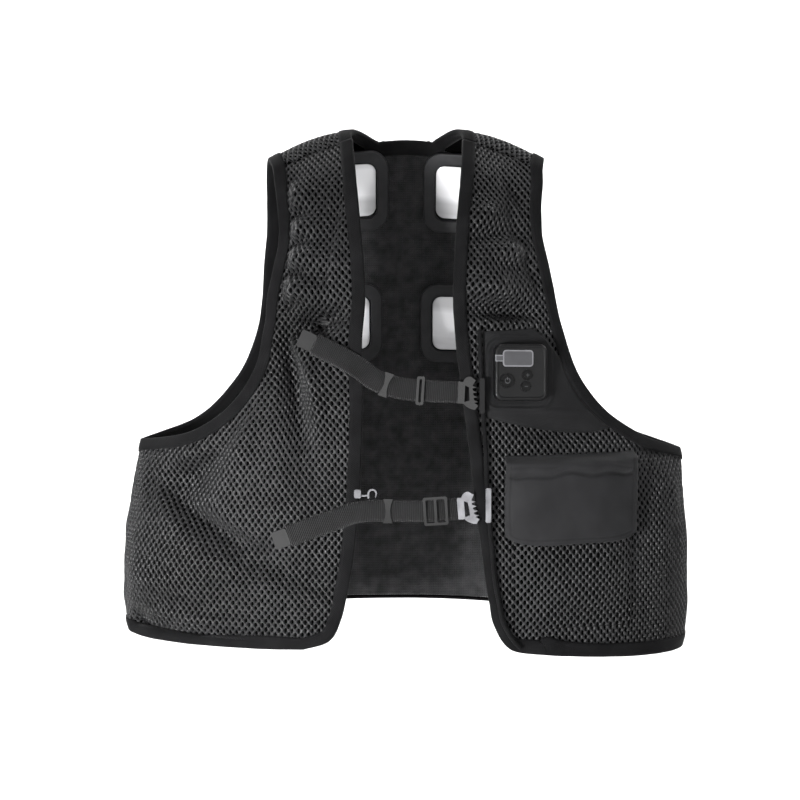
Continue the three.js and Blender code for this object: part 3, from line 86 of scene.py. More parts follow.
# Sections of the front panels from the shoulder seam to the hem, in shares of the sizes above
FRONT_COLUMNS = ("edge_x", "edge_z", "edge_y", "outer_x", "outer_z", "outer_y", "wrap", "bend")
FRONT_RIGHT = [
    (0.193, 0.007, 0.07, 0.458, 0.064, 0.19, 0.3, 1),
    (0.184, 0.055, 0.35, 0.449, 0.094, 0.30, 0.3, 1),
    (0.173, 0.113, 0.54, 0.437, 0.137, 0.39, 0.3, 1),
    (0.162, 0.177, 0.68, 0.433, 0.188, 0.46, 0.3, 1),
    (0.151, 0.242, 0.78, 0.446, 0.245, 0.52, 0.3, 1),
    (0.147, 0.315, 0.85, 0.471, 0.311, 0.56, 0.3, 1),
    (0.158, 0.402, 0.90, 0.485, 0.380, 0.60, 0.35, 1.3),
    (0.155, 0.500, 0.94, 0.520, 0.460, 0.64, 0.4, 1.8),
    (0.158, 0.588, 0.96, 0.618, 0.536, 0.62, 0.55, 2.2),
    (0.165, 0.676, 0.98, 0.761, 0.589, 0.46, 0.8, 2.4),
    (0.176, 0.755, 0.99, 0.942, 0.615, 0.00, 1, 2.4),
    (0.186, 0.811, 1.00, 0.977, 0.710, 0.00, 1, 1.8),
    (0.200, 0.861, 1.00, 1.005, 0.821, 0.00, 1, 1.4),
    (0.214, 0.905, 1.00, 1.012, 0.910, 0.00, 1, 1.2),
    (0.232, 0.946, 0.99, 1.006, 0.956, 0.00, 1, 1),
    (0.270, 0.986, 0.98, 1.003, 0.983, 0.00, 1, 1),
    (0.357, 1.003, 0.96, 0.996, 1.000, 0.00, 1, 1),
]
FRONT_LEFT = [
    (0.203, 0.007, 0.07, 0.470, 0.064, 0.19, 0.3, 1),
    (0.197, 0.055, 0.35, 0.468, 0.098, 0.30, 0.3, 1),
    (0.188, 0.113, 0.54, 0.460, 0.141, 0.39, 0.3, 1),
    (0.177, 0.177, 0.68, 0.463, 0.192, 0.46, 0.3, 1),
    (0.170, 0.242, 0.78, 0.483, 0.248, 0.52, 0.3, 1),
    (0.166, 0.315, 0.85, 0.507, 0.313, 0.56, 0.3, 1),
    (0.176, 0.402, 0.90, 0.538, 0.387, 0.60, 0.35, 1.3),
    (0.197, 0.500, 0.94, 0.591, 0.470, 0.64, 0.45, 1.8),
    (0.218, 0.588, 0.96, 0.692, 0.542, 0.60, 0.65, 2.2),
    (0.235, 0.676, 0.98, 0.823, 0.594, 0.43, 0.85, 2.4),
    (0.253, 0.755, 0.99, 0.975, 0.632, 0.00, 1, 2.4),
    (0.267, 0.811, 1.00, 0.992, 0.727, 0.00, 1, 1.8),
    (0.278, 0.861, 1.00, 1.006, 0.832, 0.00, 1, 1.4),
    (0.292, 0.909, 1.00, 1.010, 0.925, 0.00, 1, 1.2),
    (0.310, 0.956, 0.99, 1.008, 0.976, 0.00, 1, 1),
    (0.366, 1.003, 0.98, 1.004, 1.008, 0.00, 1, 1),
    (0.490, 1.014, 0.96, 0.994, 1.032, 0.00, 1, 1),
]
BACK_COLUMNS = ("centre_z", "centre_y", "right_x", "right_z", "left_x", "left_z", "outer_y", "wrap", "bend")
BACK = [
    (0.008, 0.57, 0.492, 0.116, 0.463, 0.116, 0.39, 0.3, 2),
    (0.106, 0.76, 0.494, 0.188, 0.470, 0.192, 0.46, 0.3, 2),
    (0.211, 0.87, 0.507, 0.260, 0.490, 0.264, 0.51, 0.3, 2),
    (0.317, 0.93, 0.516, 0.333, 0.517, 0.339, 0.55, 0.35, 2),
    (0.413, 0.95, 0.541, 0.408, 0.553, 0.418, 0.59, 0.45, 2),
    (0.499, 0.96, 0.607, 0.492, 0.611, 0.503, 0.55, 0.6, 2),
    (0.590, 0.96, 0.745, 0.575, 0.757, 0.588, 0.42, 0.8, 2.2),
    (0.670, 0.96, 0.942, 0.615, 0.975, 0.632, 0.00, 1, 2.4),
    (0.745, 0.97, 0.977, 0.710, 0.992, 0.727, 0.00, 1, 2),
    (0.835, 0.99, 1.005, 0.821, 1.006, 0.832, 0.00, 1, 2),
    (0.915, 1.01, 1.012, 0.910, 1.010, 0.925, 0.00, 1, 2),
    (0.984, 1.02, 0.996, 1.000, 0.994, 1.032, 0.00, 1, 2),
]
FRONT_CORNER_ROW = 10
BACK_CORNER_ROW = 7
FRONT_UNDERARM = FRONT_CORNER_ROW / (len(FRONT_RIGHT) - 1)
BACK_UNDERARM = BACK_CORNER_ROW / (len(BACK) - 1)

# Folds: across and down in shares of the panel, then long, wide, turn in degrees and height
FOLDS_RIGHT = [
    (0.75, 0.115, 0.45, 0.14, 8, 0.060),
    (0.75, 0.185, 0.50, 0.13, 4, 0.060),
    (0.70, 0.245, 0.55, 0.12, 0, 0.065),
    (0.72, 0.300, 0.55, 0.13, -4, 0.070),
    (0.45, 0.352, 0.60, 0.10, 10, -0.090),
    (0.55, 0.455, 0.70, 0.14, -42, -0.100),
    (0.35, 0.530, 0.80, 0.20, -46, 0.070),
    (0.55, 0.640, 0.90, 0.16, -40, -0.080),
    (0.75, 0.780, 0.90, 0.40, 10, 0.060),
    (0.80, 0.930, 0.40, 0.16, 70, -0.050),
]
FOLDS_LEFT = [
    (0.30, 0.160, 0.45, 0.14, -8, 0.050),
    (0.55, 0.230, 0.55, 0.12, -4, 0.060),
    (0.40, 0.290, 0.55, 0.13, 0, 0.060),
    (0.45, 0.327, 0.60, 0.08, 4, -0.050),
    (0.88, 0.640, 0.50, 0.14, -50, 0.040),
]

# The cloth's folds are deeper than the solids', and there are finer gathers at the armholes
DEEPER = {"gather": 1.9, "hollow": 2.2}
GATHERS_RIGHT = [
    (0.78, 0.090, 0.30, 0.08, 14, 0.035),
    (0.80, 0.150, 0.32, 0.06, 4, -0.060),
    (0.80, 0.215, 0.30, 0.05, 10, -0.065),
    (0.80, 0.272, 0.30, 0.05, 2, -0.065),
    (0.76, 0.325, 0.34, 0.05, 8, -0.055),
    (0.25, 0.150, 0.30, 0.12, 60, -0.040),
    (0.30, 0.250, 0.30, 0.10, 70, 0.040),
    (0.70, 0.385, 0.40, 0.08, -30, 0.055),
    (0.72, 0.425, 0.40, 0.05, -38, -0.060),
    (0.40, 0.445, 0.30, 0.09, -40, 0.050),
    (0.75, 0.520, 0.55, 0.11, -42, 0.060),
    (0.86, 0.610, 0.50, 0.11, -50, -0.055),
    (0.30, 0.760, 0.60, 0.12, 60, -0.030),
    (0.62, 0.935, 0.50, 0.08, -6, -0.065),
    (0.90, 0.890, 0.18, 0.10, -50, -0.060),
    (0.40, 0.880, 0.50, 0.12, -14, 0.040),
]
GATHERS_LEFT = [
    (0.70, 0.110, 0.40, 0.10, 30, -0.050),
    (0.40, 0.195, 0.45, 0.07, -6, -0.050),
    (0.30, 0.258, 0.40, 0.08, 4, 0.045),
    (0.78, 0.240, 0.60, 0.12, 58, -0.055),
    (0.45, 0.338, 0.60, 0.04, 2, -0.055),
    (0.55, 0.352, 0.60, 0.04, 3, 0.030),
    (0.60, 0.505, 0.50, 0.07, 10, -0.045),
    (0.90, 0.520, 0.30, 0.08, -30, 0.035),
    (0.93, 0.700, 0.70, 0.09, -80, -0.055),
    (0.86, 0.780, 0.60, 0.08, 82, 0.040),
    (0.95, 0.900, 0.30, 0.09, 40, -0.060),
]


def deeper(folds):
    """The solids' folds as the cloth has them: its gathers above the straps and its hollows"""
    result = []
    for across, down, long, wide, turn, high in folds:
        more = DEEPER["hollow"] if high < 0 else DEEPER["gather"] if down < 0.31 else 1
        result.append((across, down, long, wide, turn, high * more))
    return result


# How far the rail lies inside the front edge, as shares of the tape's width
RAIL_ROUTE = [
    (0.355, 2.00), (0.440, 1.50), (0.500, 1.30), (0.590, 0.95),
    (0.680, 0.75), (0.760, 0.70), (0.850, 0.75), (0.930, 0.95),
]

# The straps' routes: x and z as shares, and whether the right panel lies under the webbing
STRAP_UPPER = [
    (-0.310, 0.402, True), (-0.262, 0.415, True), (-0.210, 0.430, True), (-0.155, 0.448, True),
    (-0.110, 0.468, False), (-0.060, 0.480, False), (0.000, 0.487, False), (0.060, 0.490, False),
    (0.174, 0.493, False),
]
STRAP_LOWER = [
    (-0.400, 0.777, True), (-0.345, 0.765, True), (-0.290, 0.753, True), (-0.235, 0.741, True),
    (-0.175, 0.729, True), (-0.120, 0.725, False), (-0.060, 0.725, False), (0.010, 0.726, False),
    (0.090, 0.725, False), (0.174, 0.721, False),
]


def smooth(x, low, high):
    """A smooth step from 0 at low to 1 at high"""
    t = np.clip((x - low) / (high - low), 0, 1)
    return t * t * (3 - 2 * t)


def mix(a, b, share):
    return a + (b - a) * share


def between(values, place, corner=-1):
    """A column's value between rows, on a smooth curve through them that may turn a corner"""
    values = np.asarray(values, float)
    last = len(values) - 1
    k = np.clip(np.floor(place), 0, last - 1).astype(int)
    f = place - k
    b, c = values[k], values[k + 1]
    a = np.where(k == corner, 2 * b - c, values[np.maximum(k - 1, 0)])
    d = np.where(k + 1 == corner, 2 * c - b, values[np.minimum(k + 2, last)])
    return b + 0.5 * f * (c - a + f * (2 * a - 5 * b + 4 * c - d + f * (3 * (b - c) + d - a)))


def bow(u, wrap):
    """How far a section has gone across and back, on an arc of an ellipse"""
    whole = wrap * math.pi / 2
    return np.sin(u * whole) / np.sin(whole), (1 - np.cos(u * whole)) / (1 - np.cos(whole))


def level(u, across, below):
    """A section's rise or drop, level at the side below the underarm"""
    return mix(u, across, smooth(below, 0, LEVEL_SPAN))


def size_of(vectors):
    return np.linalg.norm(vectors, axis=-1)


def unit(vectors):
    return vectors / np.maximum(size_of(vectors)[..., None], 1e-9)


def run_of(points):
    """How far along a line each of its points lies"""
    return np.concatenate([[0], np.cumsum(size_of(np.diff(points, axis=0)))])


def grid_of(us, vs):
    return np.meshgrid(us, vs, indexing="ij")


def column_reader(names, rows, corner_names, corner_row):
    """A function that gives a named column's value some share of the way down"""
    columns = {name: [row[k] for row in rows] for k, name in enumerate(names)}

    def value(name, v):
        return between(columns[name], v * (len(rows) - 1), corner_row if name in corner_names else -1)

    return value


def front_plain(side, rows):
    """The middle of a front panel's wall without its folds"""
    value = column_reader(FRONT_COLUMNS, rows, ("outer_x", "outer_z", "outer_y"), FRONT_CORNER_ROW)

    def point(u, v):
        across, back = bow(u, value("wrap", v))
        share = level(u, across, v - FRONT_UNDERARM)
        return np.stack([
            side * CHEST_HALF * mix(value("edge_x", v), value("outer_x", v), across),
            -HALF_DEPTH * mix(value("edge_y", v), value("outer_y", v), back) - GAP / 2,
            -BODY_LENGTH * mix(value("edge_z", v), value("outer_z", v), share ** value("bend", v)),
        ], -1)

    return point


def back_plain(front_point):
    """The middle of the back's wall, with the shoulder parts above v = 0"""
    corner_names = ("right_x", "right_z", "left_x", "left_z", "outer_y")
    value = column_reader(BACK_COLUMNS, BACK, corner_names, BACK_CORNER_ROW)

    def body(u, v):
        a = np.abs(u)
        side_x, side_z = [np.where(u < 0, value("right_" + k, v), value("left_" + k, v)) for k in "xz"]
        across, back = bow(a, value("wrap", v))
        share = level(a, across, v - BACK_UNDERARM)
        return np.stack([
            np.sign(u) * CHEST_HALF * side_x * across,
            HALF_DEPTH * mix(value("centre_y", v), value("outer_y", v), back) + GAP / 2,
            -BODY_LENGTH * mix(value("centre_z", v), side_z, share ** value("bend", v)),
        ], -1)

    def shoulder(u, v):
        a = np.minimum((np.abs(u) - NECK_SHARE) / (1 - NECK_SHARE), 1)
        low = body(u, np.zeros_like(v))
        seams = [front_point[side](a, np.zeros_like(v)) for side in (-1, 1)]
        seam = np.where((u < 0)[..., None], *seams) + np.array([0, GAP, 0])
        rise = mix(RIDGE["neck_z"], RIDGE["tip_z"], a) - RIDGE["crown"] * np.sin(np.pi * a)
        ridge = np.stack([
            np.sign(u) * CHEST_HALF * mix(RIDGE["neck_x"], RIDGE["tip_x"], a),
            np.full_like(a, HALF_DEPTH * RIDGE["y"]),
            -BODY_LENGTH * rise,
        ], -1)
        first = size_of(low - ridge)
        top = (first / (first + size_of(ridge - seam)))[..., None]
        s = -v[..., None]
        return (low * (s - top) * (s - 1) / top + ridge * s * (s - 1) / (top * (top - 1))
                + seam * s * (s - top) / (1 - top))

    def point(u, v):
        return np.where((v < 0)[..., None], shoulder(u, np.minimum(v, 0)), body(u, np.maximum(v, 0)))

    return point


def normals(point, u, v, outward, low_u, low_v):
    """Unit normals away from the wearer, by small steps along the surface"""
    step = 0.002
    u0, u1 = np.maximum(u - step, low_u), np.minimum(u + step, 1)
    v0, v1 = np.maximum(v - step, low_v), np.minimum(v + step, 1)
    pu = (point(u1, v) - point(u0, v)) / (u1 - u0)[..., None]
    pv = (point(u, v1) - point(u, v0)) / (v1 - v0)[..., None]
    long_v = size_of(pv)
    lean = size_of(np.cross(pu, pv)) / np.maximum(size_of(pu) * long_v, 1e-9)
    down = np.zeros_like(pv)
    down[..., 2] = -long_v
    pv = mix(pv, down, (1 - smooth(lean, *LEAN))[..., None])
    return unit(np.cross(pu, pv) * outward)


def fold_height(folds, u, v):
    """The folds' height over a plain panel, faded out at its seams and tapes"""
    total = np.zeros_like(u)
    for across, down, long, wide, turn, high in folds:
        a = (u - across) * CHEST_HALF * 0.6
        b = (v - down) * BODY_LENGTH
        c, s = math.cos(math.radians(turn)), math.sin(math.radians(turn))
        along = (a * c + b * s) / (long * HALF_DEPTH)
        cross = (b * c - a * s) / (wide * HALF_DEPTH)
        total += high * HALF_DEPTH * np.exp(-along ** 2 - cross ** 2)
    at_seam = smooth(v, 0, 0.08)
    at_side = 1 - smooth(v, 0.5, 0.6) * (1 - smooth(1 - u, 0, 0.2))
    at_tape = (1 - smooth(u, 0.74, 0.88)) * (1 - 0.85 * smooth(v, 0.95, 0.985))
    return total * at_seam * at_side * at_tape


def sample(grid, us, vs, u, v):
    """A grid's values at any places between its points"""
    i = np.clip(np.searchsorted(us, u, side="right") - 1, 0, len(us) - 2)
    j = np.clip(np.searchsorted(vs, v, side="right") - 1, 0, len(vs) - 2)
    a = np.clip((u - us[i]) / (us[i + 1] - us[i]), 0, 1)[..., None]
    b = np.clip((v - vs[j]) / (vs[j + 1] - vs[j]), 0, 1)[..., None]
    return mix(mix(grid[i, j], grid[i + 1, j], a), mix(grid[i, j + 1], grid[i + 1, j + 1], a), b)


def slopes(grid, us, vs, u, v, step_u, step_v):
    """How a grid's values change across and down at given places"""
    u0, u1 = np.maximum(u - step_u, us[0]), np.minimum(u + step_u, us[-1])
    v0, v1 = np.maximum(v - step_v, vs[0]), np.minimum(v + step_v, vs[-1])
    du = (sample(grid, us, vs, u1, v) - sample(grid, us, vs, u0, v)) / (u1 - u0)[..., None]
    dv = (sample(grid, us, vs, u, v1) - sample(grid, us, vs, u, v0)) / (v1 - v0)[..., None]
    return du, dv


def seek(grid, us, vs, goal, u, v, steps, times, least, most=np.inf, inset=0):
    """The places where a grid of pairs has the goal's values, by small moves from a first guess"""
    for _ in range(times):
        gap = goal - sample(grid, us, vs, u, v)
        du, dv = slopes(grid, us, vs, u, v, *steps)
        whole = du[..., 0] * dv[..., 1] - dv[..., 0] * du[..., 1]
        whole = np.where(np.abs(whole) < least, least, whole)
        move_u = np.clip((gap[..., 0] * dv[..., 1] - gap[..., 1] * dv[..., 0]) / whole, -most, most)
        move_v = np.clip((gap[..., 1] * du[..., 0] - gap[..., 0] * du[..., 1]) / whole, -most, most)
        u = np.clip(u + 0.9 * move_u, us[0] + inset, us[-1] - inset)
        v = np.clip(v + 0.9 * move_v, vs[0] + inset, vs[-1] - inset)
    return u, v


class Cloth:
    def __init__(self, us, vs, points, facing):
        self.us, self.vs, self.p, self.n = us, vs, points, facing

    def at(self, u, v, height=0):
        """Points at a height over the surface"""
        u, v = np.broadcast_arrays(np.asarray(u, float), np.asarray(v, float))
        raised = self.normal(u, v) * np.asarray(height, float)[..., None]
        return sample(self.p, self.us, self.vs, u, v) + raised

    def normal(self, u, v):
        return unit(sample(self.n, self.us, self.vs, np.asarray(u, float), np.asarray(v, float)))

    def locate(self, x, z, u, v):
        """The place on the cloth in front of, or behind, a given x and z"""
        x, z = np.broadcast_arrays(np.asarray(x, float), np.asarray(z, float))
        u, v = np.full(x.shape, float(u)), np.full(x.shape, float(v))
        step = 0.003
        goal = np.stack([x, z], -1)
        return seek(self.p[..., [0, 2]], self.us, self.vs, goal, u, v, (step, step), 14, 1, inset=step)


def cloth_of(point, outward, us, vs, folds=(), rumples=None):
    """A plain surface sampled finely, with folds and small unevenness raised on it"""
    u, v = grid_of(us, vs)
    n = normals(point, u, v, outward, us[0], vs[0])
    p = point(u, v)
    if folds:
        p = p + n * (fold_height(folds, u, v) + rumples(p))[..., None]
        pu, pv = np.gradient(p, us, axis=0), np.gradient(p, vs, axis=1)
        lean = np.cross(pu, pv)
        worth = size_of(lean) / (size_of(pu) * size_of(pv))
        n = unit(mix(n, unit(lean) * outward, smooth(worth, *LEAN)[..., None]))
    return Cloth(us, vs, p, n)


def rumple(seed, size, high, count=40):
    """Small soft unevenness over a panel, from a few fixed waves"""
    rng = np.random.default_rng(seed)
    waves = []
    for _ in range(count):
        angle = rng.uniform(0, math.pi)
        length = size * rng.uniform(0.6, 1.8)
        waves.append((math.cos(angle) / length, math.sin(angle) / length, rng.uniform(0, 2 * math.pi)))

    def height(p):
        total = sum(np.sin(2 * math.pi * (a * p[..., 0] + b * p[..., 2]) + phase) for a, b, phase in waves)
        return high * total / math.sqrt(count)

    return height


def neck_steps(side, middle):
    """Steps across the back, with one at each side of the neck"""
    return np.concatenate([
        np.linspace(-1, -NECK_SHARE, side), np.linspace(-NECK_SHARE, NECK_SHARE, middle)[1:-1],
        np.linspace(NECK_SHARE, 1, side),
    ])


def seam_steps(above, below):
    """Steps down the back, from the shoulder seams over v = 0 to the hem"""
    return np.concatenate([np.linspace(-1, 0, above)[:-1], np.linspace(0, 1, below)])


front_points = {-1: front_plain(-1, FRONT_RIGHT), 1: front_plain(1, FRONT_LEFT)}
fine_us, fine_vs = np.linspace(0, 1, 121), np.linspace(0, 1, 361)
folds_right, folds_left = deeper(FOLDS_RIGHT) + GATHERS_RIGHT, deeper(FOLDS_LEFT) + GATHERS_LEFT
right = cloth_of(front_points[-1], 1, fine_us, fine_vs, folds_right, rumple(5, 60, 0.8))
left = cloth_of(front_points[1], -1, fine_us, fine_vs, folds_left, rumple(8, 60, 0.6))
rear = cloth_of(back_plain(front_points), 1, neck_steps(97, 49), seam_steps(61, 241))


def new_object(name, vertices, faces, material, flat=None, smooth_faces=True):
    """A mesh piece from points in millimetres"""
    mesh = bpy.data.meshes.new(name)
    mesh.from_pydata((np.asarray(vertices) * MM).tolist(), [], [list(map(int, face)) for face in faces])
    mesh.update()
    mesh.polygons.foreach_set("use_smooth", [smooth_faces] * len(mesh.polygons))
    obj = bpy.data.objects.new(name, mesh)
    bpy.context.scene.collection.objects.link(obj)
    mesh.materials.append(material)
    if flat is not None:
        layer = mesh.uv_layers.new(name="flat")
        loops = np.empty(len(mesh.loops), int)
        mesh.loops.foreach_get("vertex_index", loops)
        layer.data.foreach_set("uv", (np.asarray(flat)[loops] * MM * 10).ravel())
    return obj


def tidy_faces(obj, meet=None):
    """Turns all the faces of a piece outwards, after its corners closer than meet are joined"""
    work = bmesh.new()
    work.from_mesh(obj.data)
    if meet:
        bmesh.ops.remove_doubles(work, verts=work.verts, dist=meet * MM)
    bmesh.ops.recalc_face_normals(work, faces=work.faces)
    work.to_mesh(obj.data)
    work.free()
    return obj


def grid_faces(rows, columns, offset=0, closed=False):
    """Quads over a grid of points stored row by row"""
    i, j = grid_of(np.arange(rows - 1), np.arange(columns if closed else columns - 1))
    k = (j + 1) % columns
    faces = np.stack([i * columns + j, i * columns + k, (i + 1) * columns + k, (i + 1) * columns + j], -1)
    return faces.reshape(-1, 4) + offset


def shell_mesh(name, low, high, material, flat):
    """A closed wall between two grids of points"""
    rows, columns = low.shape[:2]
    count = rows * columns
    rim = [(i, 0) for i in range(rows)] + [(rows - 1, j) for j in range(1, columns)]
    rim += [(i, columns - 1) for i in range(rows - 2, -1, -1)] + [(0, j) for j in range(columns - 2, 0, -1)]
    index = np.array([i * columns + j for i, j in rim])
    after = np.roll(index, -1)
    sides = np.stack([index, after, after + count, index + count], -1)
    faces = np.concatenate([grid_faces(rows, columns), grid_faces(rows, columns, count)[:, ::-1], sides])
    vertices = np.concatenate([high.reshape(-1, 3), low.reshape(-1, 3)])
    return tidy_faces(new_object(name, vertices, faces, material, np.concatenate([flat.reshape(-1, 2)] * 2)))


def closed_faces(rows, count, base=0):
    """Quads round a run of loops, and a face at each end"""
    last = base + (rows - 1) * count
    faces = [tuple(quad) for quad in grid_faces(rows, count, base, closed=True)]
    return faces + [tuple(range(base, base + count))[::-1], tuple(range(last, last + count))]


def tube(name, rings, material, flat=None, ring=False):
    """A piece from loops of points, capped, or joined into a ring where the last loop is the first"""
    rows, count = rings.shape[:2]
    faces = grid_faces(rows, count, closed=True) if ring else closed_faces(rows, count)
    flat = None if flat is None else flat.reshape(-1, 2)
    return tidy_faces(new_object(name, rings.reshape(-1, 3), faces, material, flat), 0.02 if ring else None)


def flatten(cloth, us, vs, there, way):
    """Lays a panel out flat: a grid of flat places whose distances are those on the cloth"""
    p = cloth.at(*grid_of(us, vs))
    rows, columns = there.shape
    start, zero = int(np.argmin(np.abs(us))), int(np.argmin(np.abs(vs)))
    arc = np.concatenate([np.zeros((1, columns)), np.cumsum(size_of(np.diff(p, axis=0)), axis=0)])
    drop = size_of(np.diff(p, axis=1))
    h = -p[..., 2].copy()
    for j in range(zero - 1, -1, -1):
        h[:, j] = h[:, j + 1] - drop[:, j]
    flat = np.stack([way * (arc - arc[start]) + p[start, :, 0], h], -1)
    links = []
    for di, dj in ((1, 0), (0, 1), (1, 1), (1, -1)):
        a = (slice(0, rows - di), slice(max(0, -dj), columns - max(0, dj)))
        b = (slice(di, rows), slice(max(0, dj), columns - max(0, -dj)))
        links.append((a, b, size_of(p[a] - p[b]), (there[a] & there[b]).astype(float)))
    for _ in range(700):
        move = np.zeros_like(flat)
        count = np.zeros(there.shape)
        for a, b, rest, worth in links:
            gap = flat[b] - flat[a]
            size = size_of(gap)
            push = gap * (worth * (size - rest) / np.maximum(size, 1e-6) * 0.5)[..., None]
            move[a] += push
            move[b] -= push
            count[a] += worth
            count[b] += worth
        flat = flat + move / np.maximum(count, 1)[..., None] * 1.6
    return flat


def inverse(us, vs, flat, places, start, there):
    """The u and v of flat places, and whether each was found"""
    steps = [(ends[-1] - ends[0]) / len(ends) / 2 for ends in (us, vs)]
    u, v = seek(flat, us, vs, places, start[:, 0], start[:, 1], steps, 12, 1e-3, 0.2)
    found = size_of(sample(flat, us, vs, u, v) - places) < 0.3
    return u, v, found & there(u, v)


def walk(cloth, u, v, direction, distance, parts=6):
    """Walks over a cloth and gives the places passed on the way"""
    path = [(u, v)]
    for _ in range(parts):
        pu, pv = slopes(cloth.p, cloth.us, cloth.vs, u, v, 0.004, 0.004)
        a, b, c = (pu * pu).sum(-1), (pu * pv).sum(-1), (pv * pv).sum(-1)
        d, e = (pu * direction).sum(-1), (pv * direction).sum(-1)
        whole = np.maximum(a * c - b * b, 1e-3)
        length = np.squeeze(np.asarray(distance, float)) / parts
        u = np.clip(u + (d * c - e * b) / whole * length, cloth.us[0], 1)
        v = np.clip(v + (a * e - b * d) / whole * length, cloth.vs[0], 1)
        path.append((u, v))
    return path


def along_line(points, closed=False):
    """The direction along a line of points"""
    if closed:
        return unit(np.roll(points, -1, axis=0) - np.roll(points, 1, axis=0))
    return unit(np.gradient(points, axis=0))


def soften(values, closed):
    """Evens out a list of directions along a line"""
    for _ in range(2):
        before, after = np.roll(values, 1, axis=0), np.roll(values, -1, axis=0)
        if not closed:
            before[0], after[-1] = values[0], values[-1]
        values = unit(before + 2 * values + after)
    return values


def folded_tape(name, parts, closed, turn, seed):
    """Tape folded round an edge. parts are a cloth and the places along its edge."""
    p = np.concatenate([cloth.at(u, v) for cloth, u, v in parts])
    n = soften(np.concatenate([cloth.normal(u, v) for cloth, u, v in parts]), closed)
    inward = soften(turn * unit(np.cross(n, along_line(p, closed))), closed)
    legs = []
    start = 0
    for cloth, u, v in parts:
        path = walk(cloth, u, v, inward[start:start + len(u)], TAPE_WIDTH)
        legs.append([(cloth.at(*path[k]), cloth.normal(*path[k])) for k in (6, 4, 2)])
        start += len(u)
    legs = [tuple(np.concatenate([part[k][m] for part in legs]) for m in range(2)) for k in range(3)]
    run = run_of(p)
    rng = np.random.default_rng(seed)
    wave = sum(0.10 * np.sin(run / length + rng.uniform(0, 6)) for length in (4.1, 7.3, 13.0))[:, None]
    half, outer = WALL / 2 + TAPE_GAP, WALL / 2 + TAPE_GAP + TAPE
    bulge = (0.0, 0.25, 0.1)
    far, far_normal = legs[0]
    lip = p - inward * TAPE_REACH * 0.5
    third = TAPE_WIDTH / 3
    # Each loop of the tape's section, with how far across the tape it lies
    section = []
    for k, (point, normal) in enumerate(legs):
        height = outer - 0.35 * (k == 0) + bulge[k] + wave * 0.5
        section.append((point + normal * height, -TAPE_WIDTH + k * third))
    for k in range(7):
        angle = math.pi * k / 6
        reach = TAPE_REACH + TAPE - outer * 0.35 + outer * 0.55 * math.sin(angle)
        round_edge = p - inward * (reach + wave * 0.4) + n * (outer + wave * 0.3) * math.cos(angle)
        section.append((round_edge, k * 0.9))
    for k, (point, normal) in enumerate(reversed(legs)):
        section.append((point - normal * (outer + bulge[2 - k]), 6 + (k + 1) * third))
    section += [
        (far - far_normal * half, 6 + TAPE_WIDTH), (lip - n * half, 6), (lip + n * half, 0),
        (far + far_normal * half, -TAPE_WIDTH),
    ]
    rings = np.stack([loop for loop, _ in section], 1)
    across = np.array([place for _, place in section])
    flat = np.stack(np.broadcast_arrays(run[:, None], across[None, :]), -1)
    if closed:
        rings = np.concatenate([rings, rings[:1]])
        flat = np.concatenate([flat, flat[:1] + [run[-1], 0]])
    return own(tube(name, rings, FINISH["tape"], flat, closed), name.replace("_tape", "_binding"))


def net_cells():
    """One hole's cell: its outline, shared with its neighbours, and the rings of its hole"""
    w, row = NET["across"] / 2, NET["row"]
    tip = (w * w + row * row) / 2 / row
    shoulder = ((w * w + row * row) / 2 - w * w) / row
    corners = [(w, -shoulder), (w, shoulder), (0, tip), (-w, shoulder), (-w, -shoulder), (0, -tip)]
    outline = []
    for k, (a, b) in enumerate(corners):
        c, d = corners[(k + 1) % 6]
        outline.append((a, b))
        if k not in (0, 3):
            outline.append(((a + c) / 2, (b + d) / 2))
    outline = np.array(outline)
    angle = np.arctan2(outline[:, 1] / tip, outline[:, 0] / w)
    hole = np.stack([NET["hole_wide"] / 2 * np.cos(angle), NET["hole_high"] / 2 * np.sin(angle)], -1)
    return outline, hole * 1.12, hole * 0.92


def net_mesh(name, place, centres, seed):
    """A net of upright holes. place gives points and normals for flat places."""
    outline, brow, foot = net_cells()
    count = len(outline)
    rng = np.random.default_rng(seed)
    jitter = rng.normal(0, 0.12, (len(centres), 1, 2))
    grow = 1 + rng.normal(0, 0.06, (len(centres), 1, 1))
    edge = (centres[:, None, :] + outline[None]).reshape(-1, 2)
    keys = np.round(edge * 20).astype(np.int64)
    _, first, back_to = np.unique(keys, axis=0, return_index=True, return_inverse=True)
    middles = centres[:, None, :] + jitter
    upper, lower = [(middles + loop[None] * grow).reshape(-1, 2) for loop in (brow, foot)]
    home = np.repeat(np.arange(len(centres)), count)
    levels = [(edge[first], home[first], NET["top"]), (upper, home, NET["rim"]), (lower, home, NET["floor"])]
    points = []
    for flat, of_cell, height in levels:
        p, n = place(flat, of_cell)
        points.append(p + n * height)
    a = back_to.reshape(-1, count)
    b = len(first) + np.arange(len(upper)).reshape(-1, count)
    faces = [np.stack([low, np.roll(low, -1, 1), np.roll(high, -1, 1), high], -1).reshape(-1, 4)
             for low, high in ((a, b), (b, b + len(upper)))]
    flat_all = np.concatenate([flat for flat, _, _ in levels])
    return new_object(name, np.concatenate(points), np.concatenate(faces), FINISH["net"], flat_all)


def lattice(low, high):
    """The middles of the net's holes between two flat corners"""
    rows = np.arange(math.floor(low[1] / NET["row"]), math.ceil(high[1] / NET["row"]) + 1)
    columns = np.arange(math.floor(low[0] / NET["across"]), math.ceil(high[0] / NET["across"]) + 1)
    j, i = grid_of(rows, columns)
    return np.stack([(i + 0.5 * (j % 2)) * NET["across"], j * NET["row"]], -1).reshape(-1, 2)


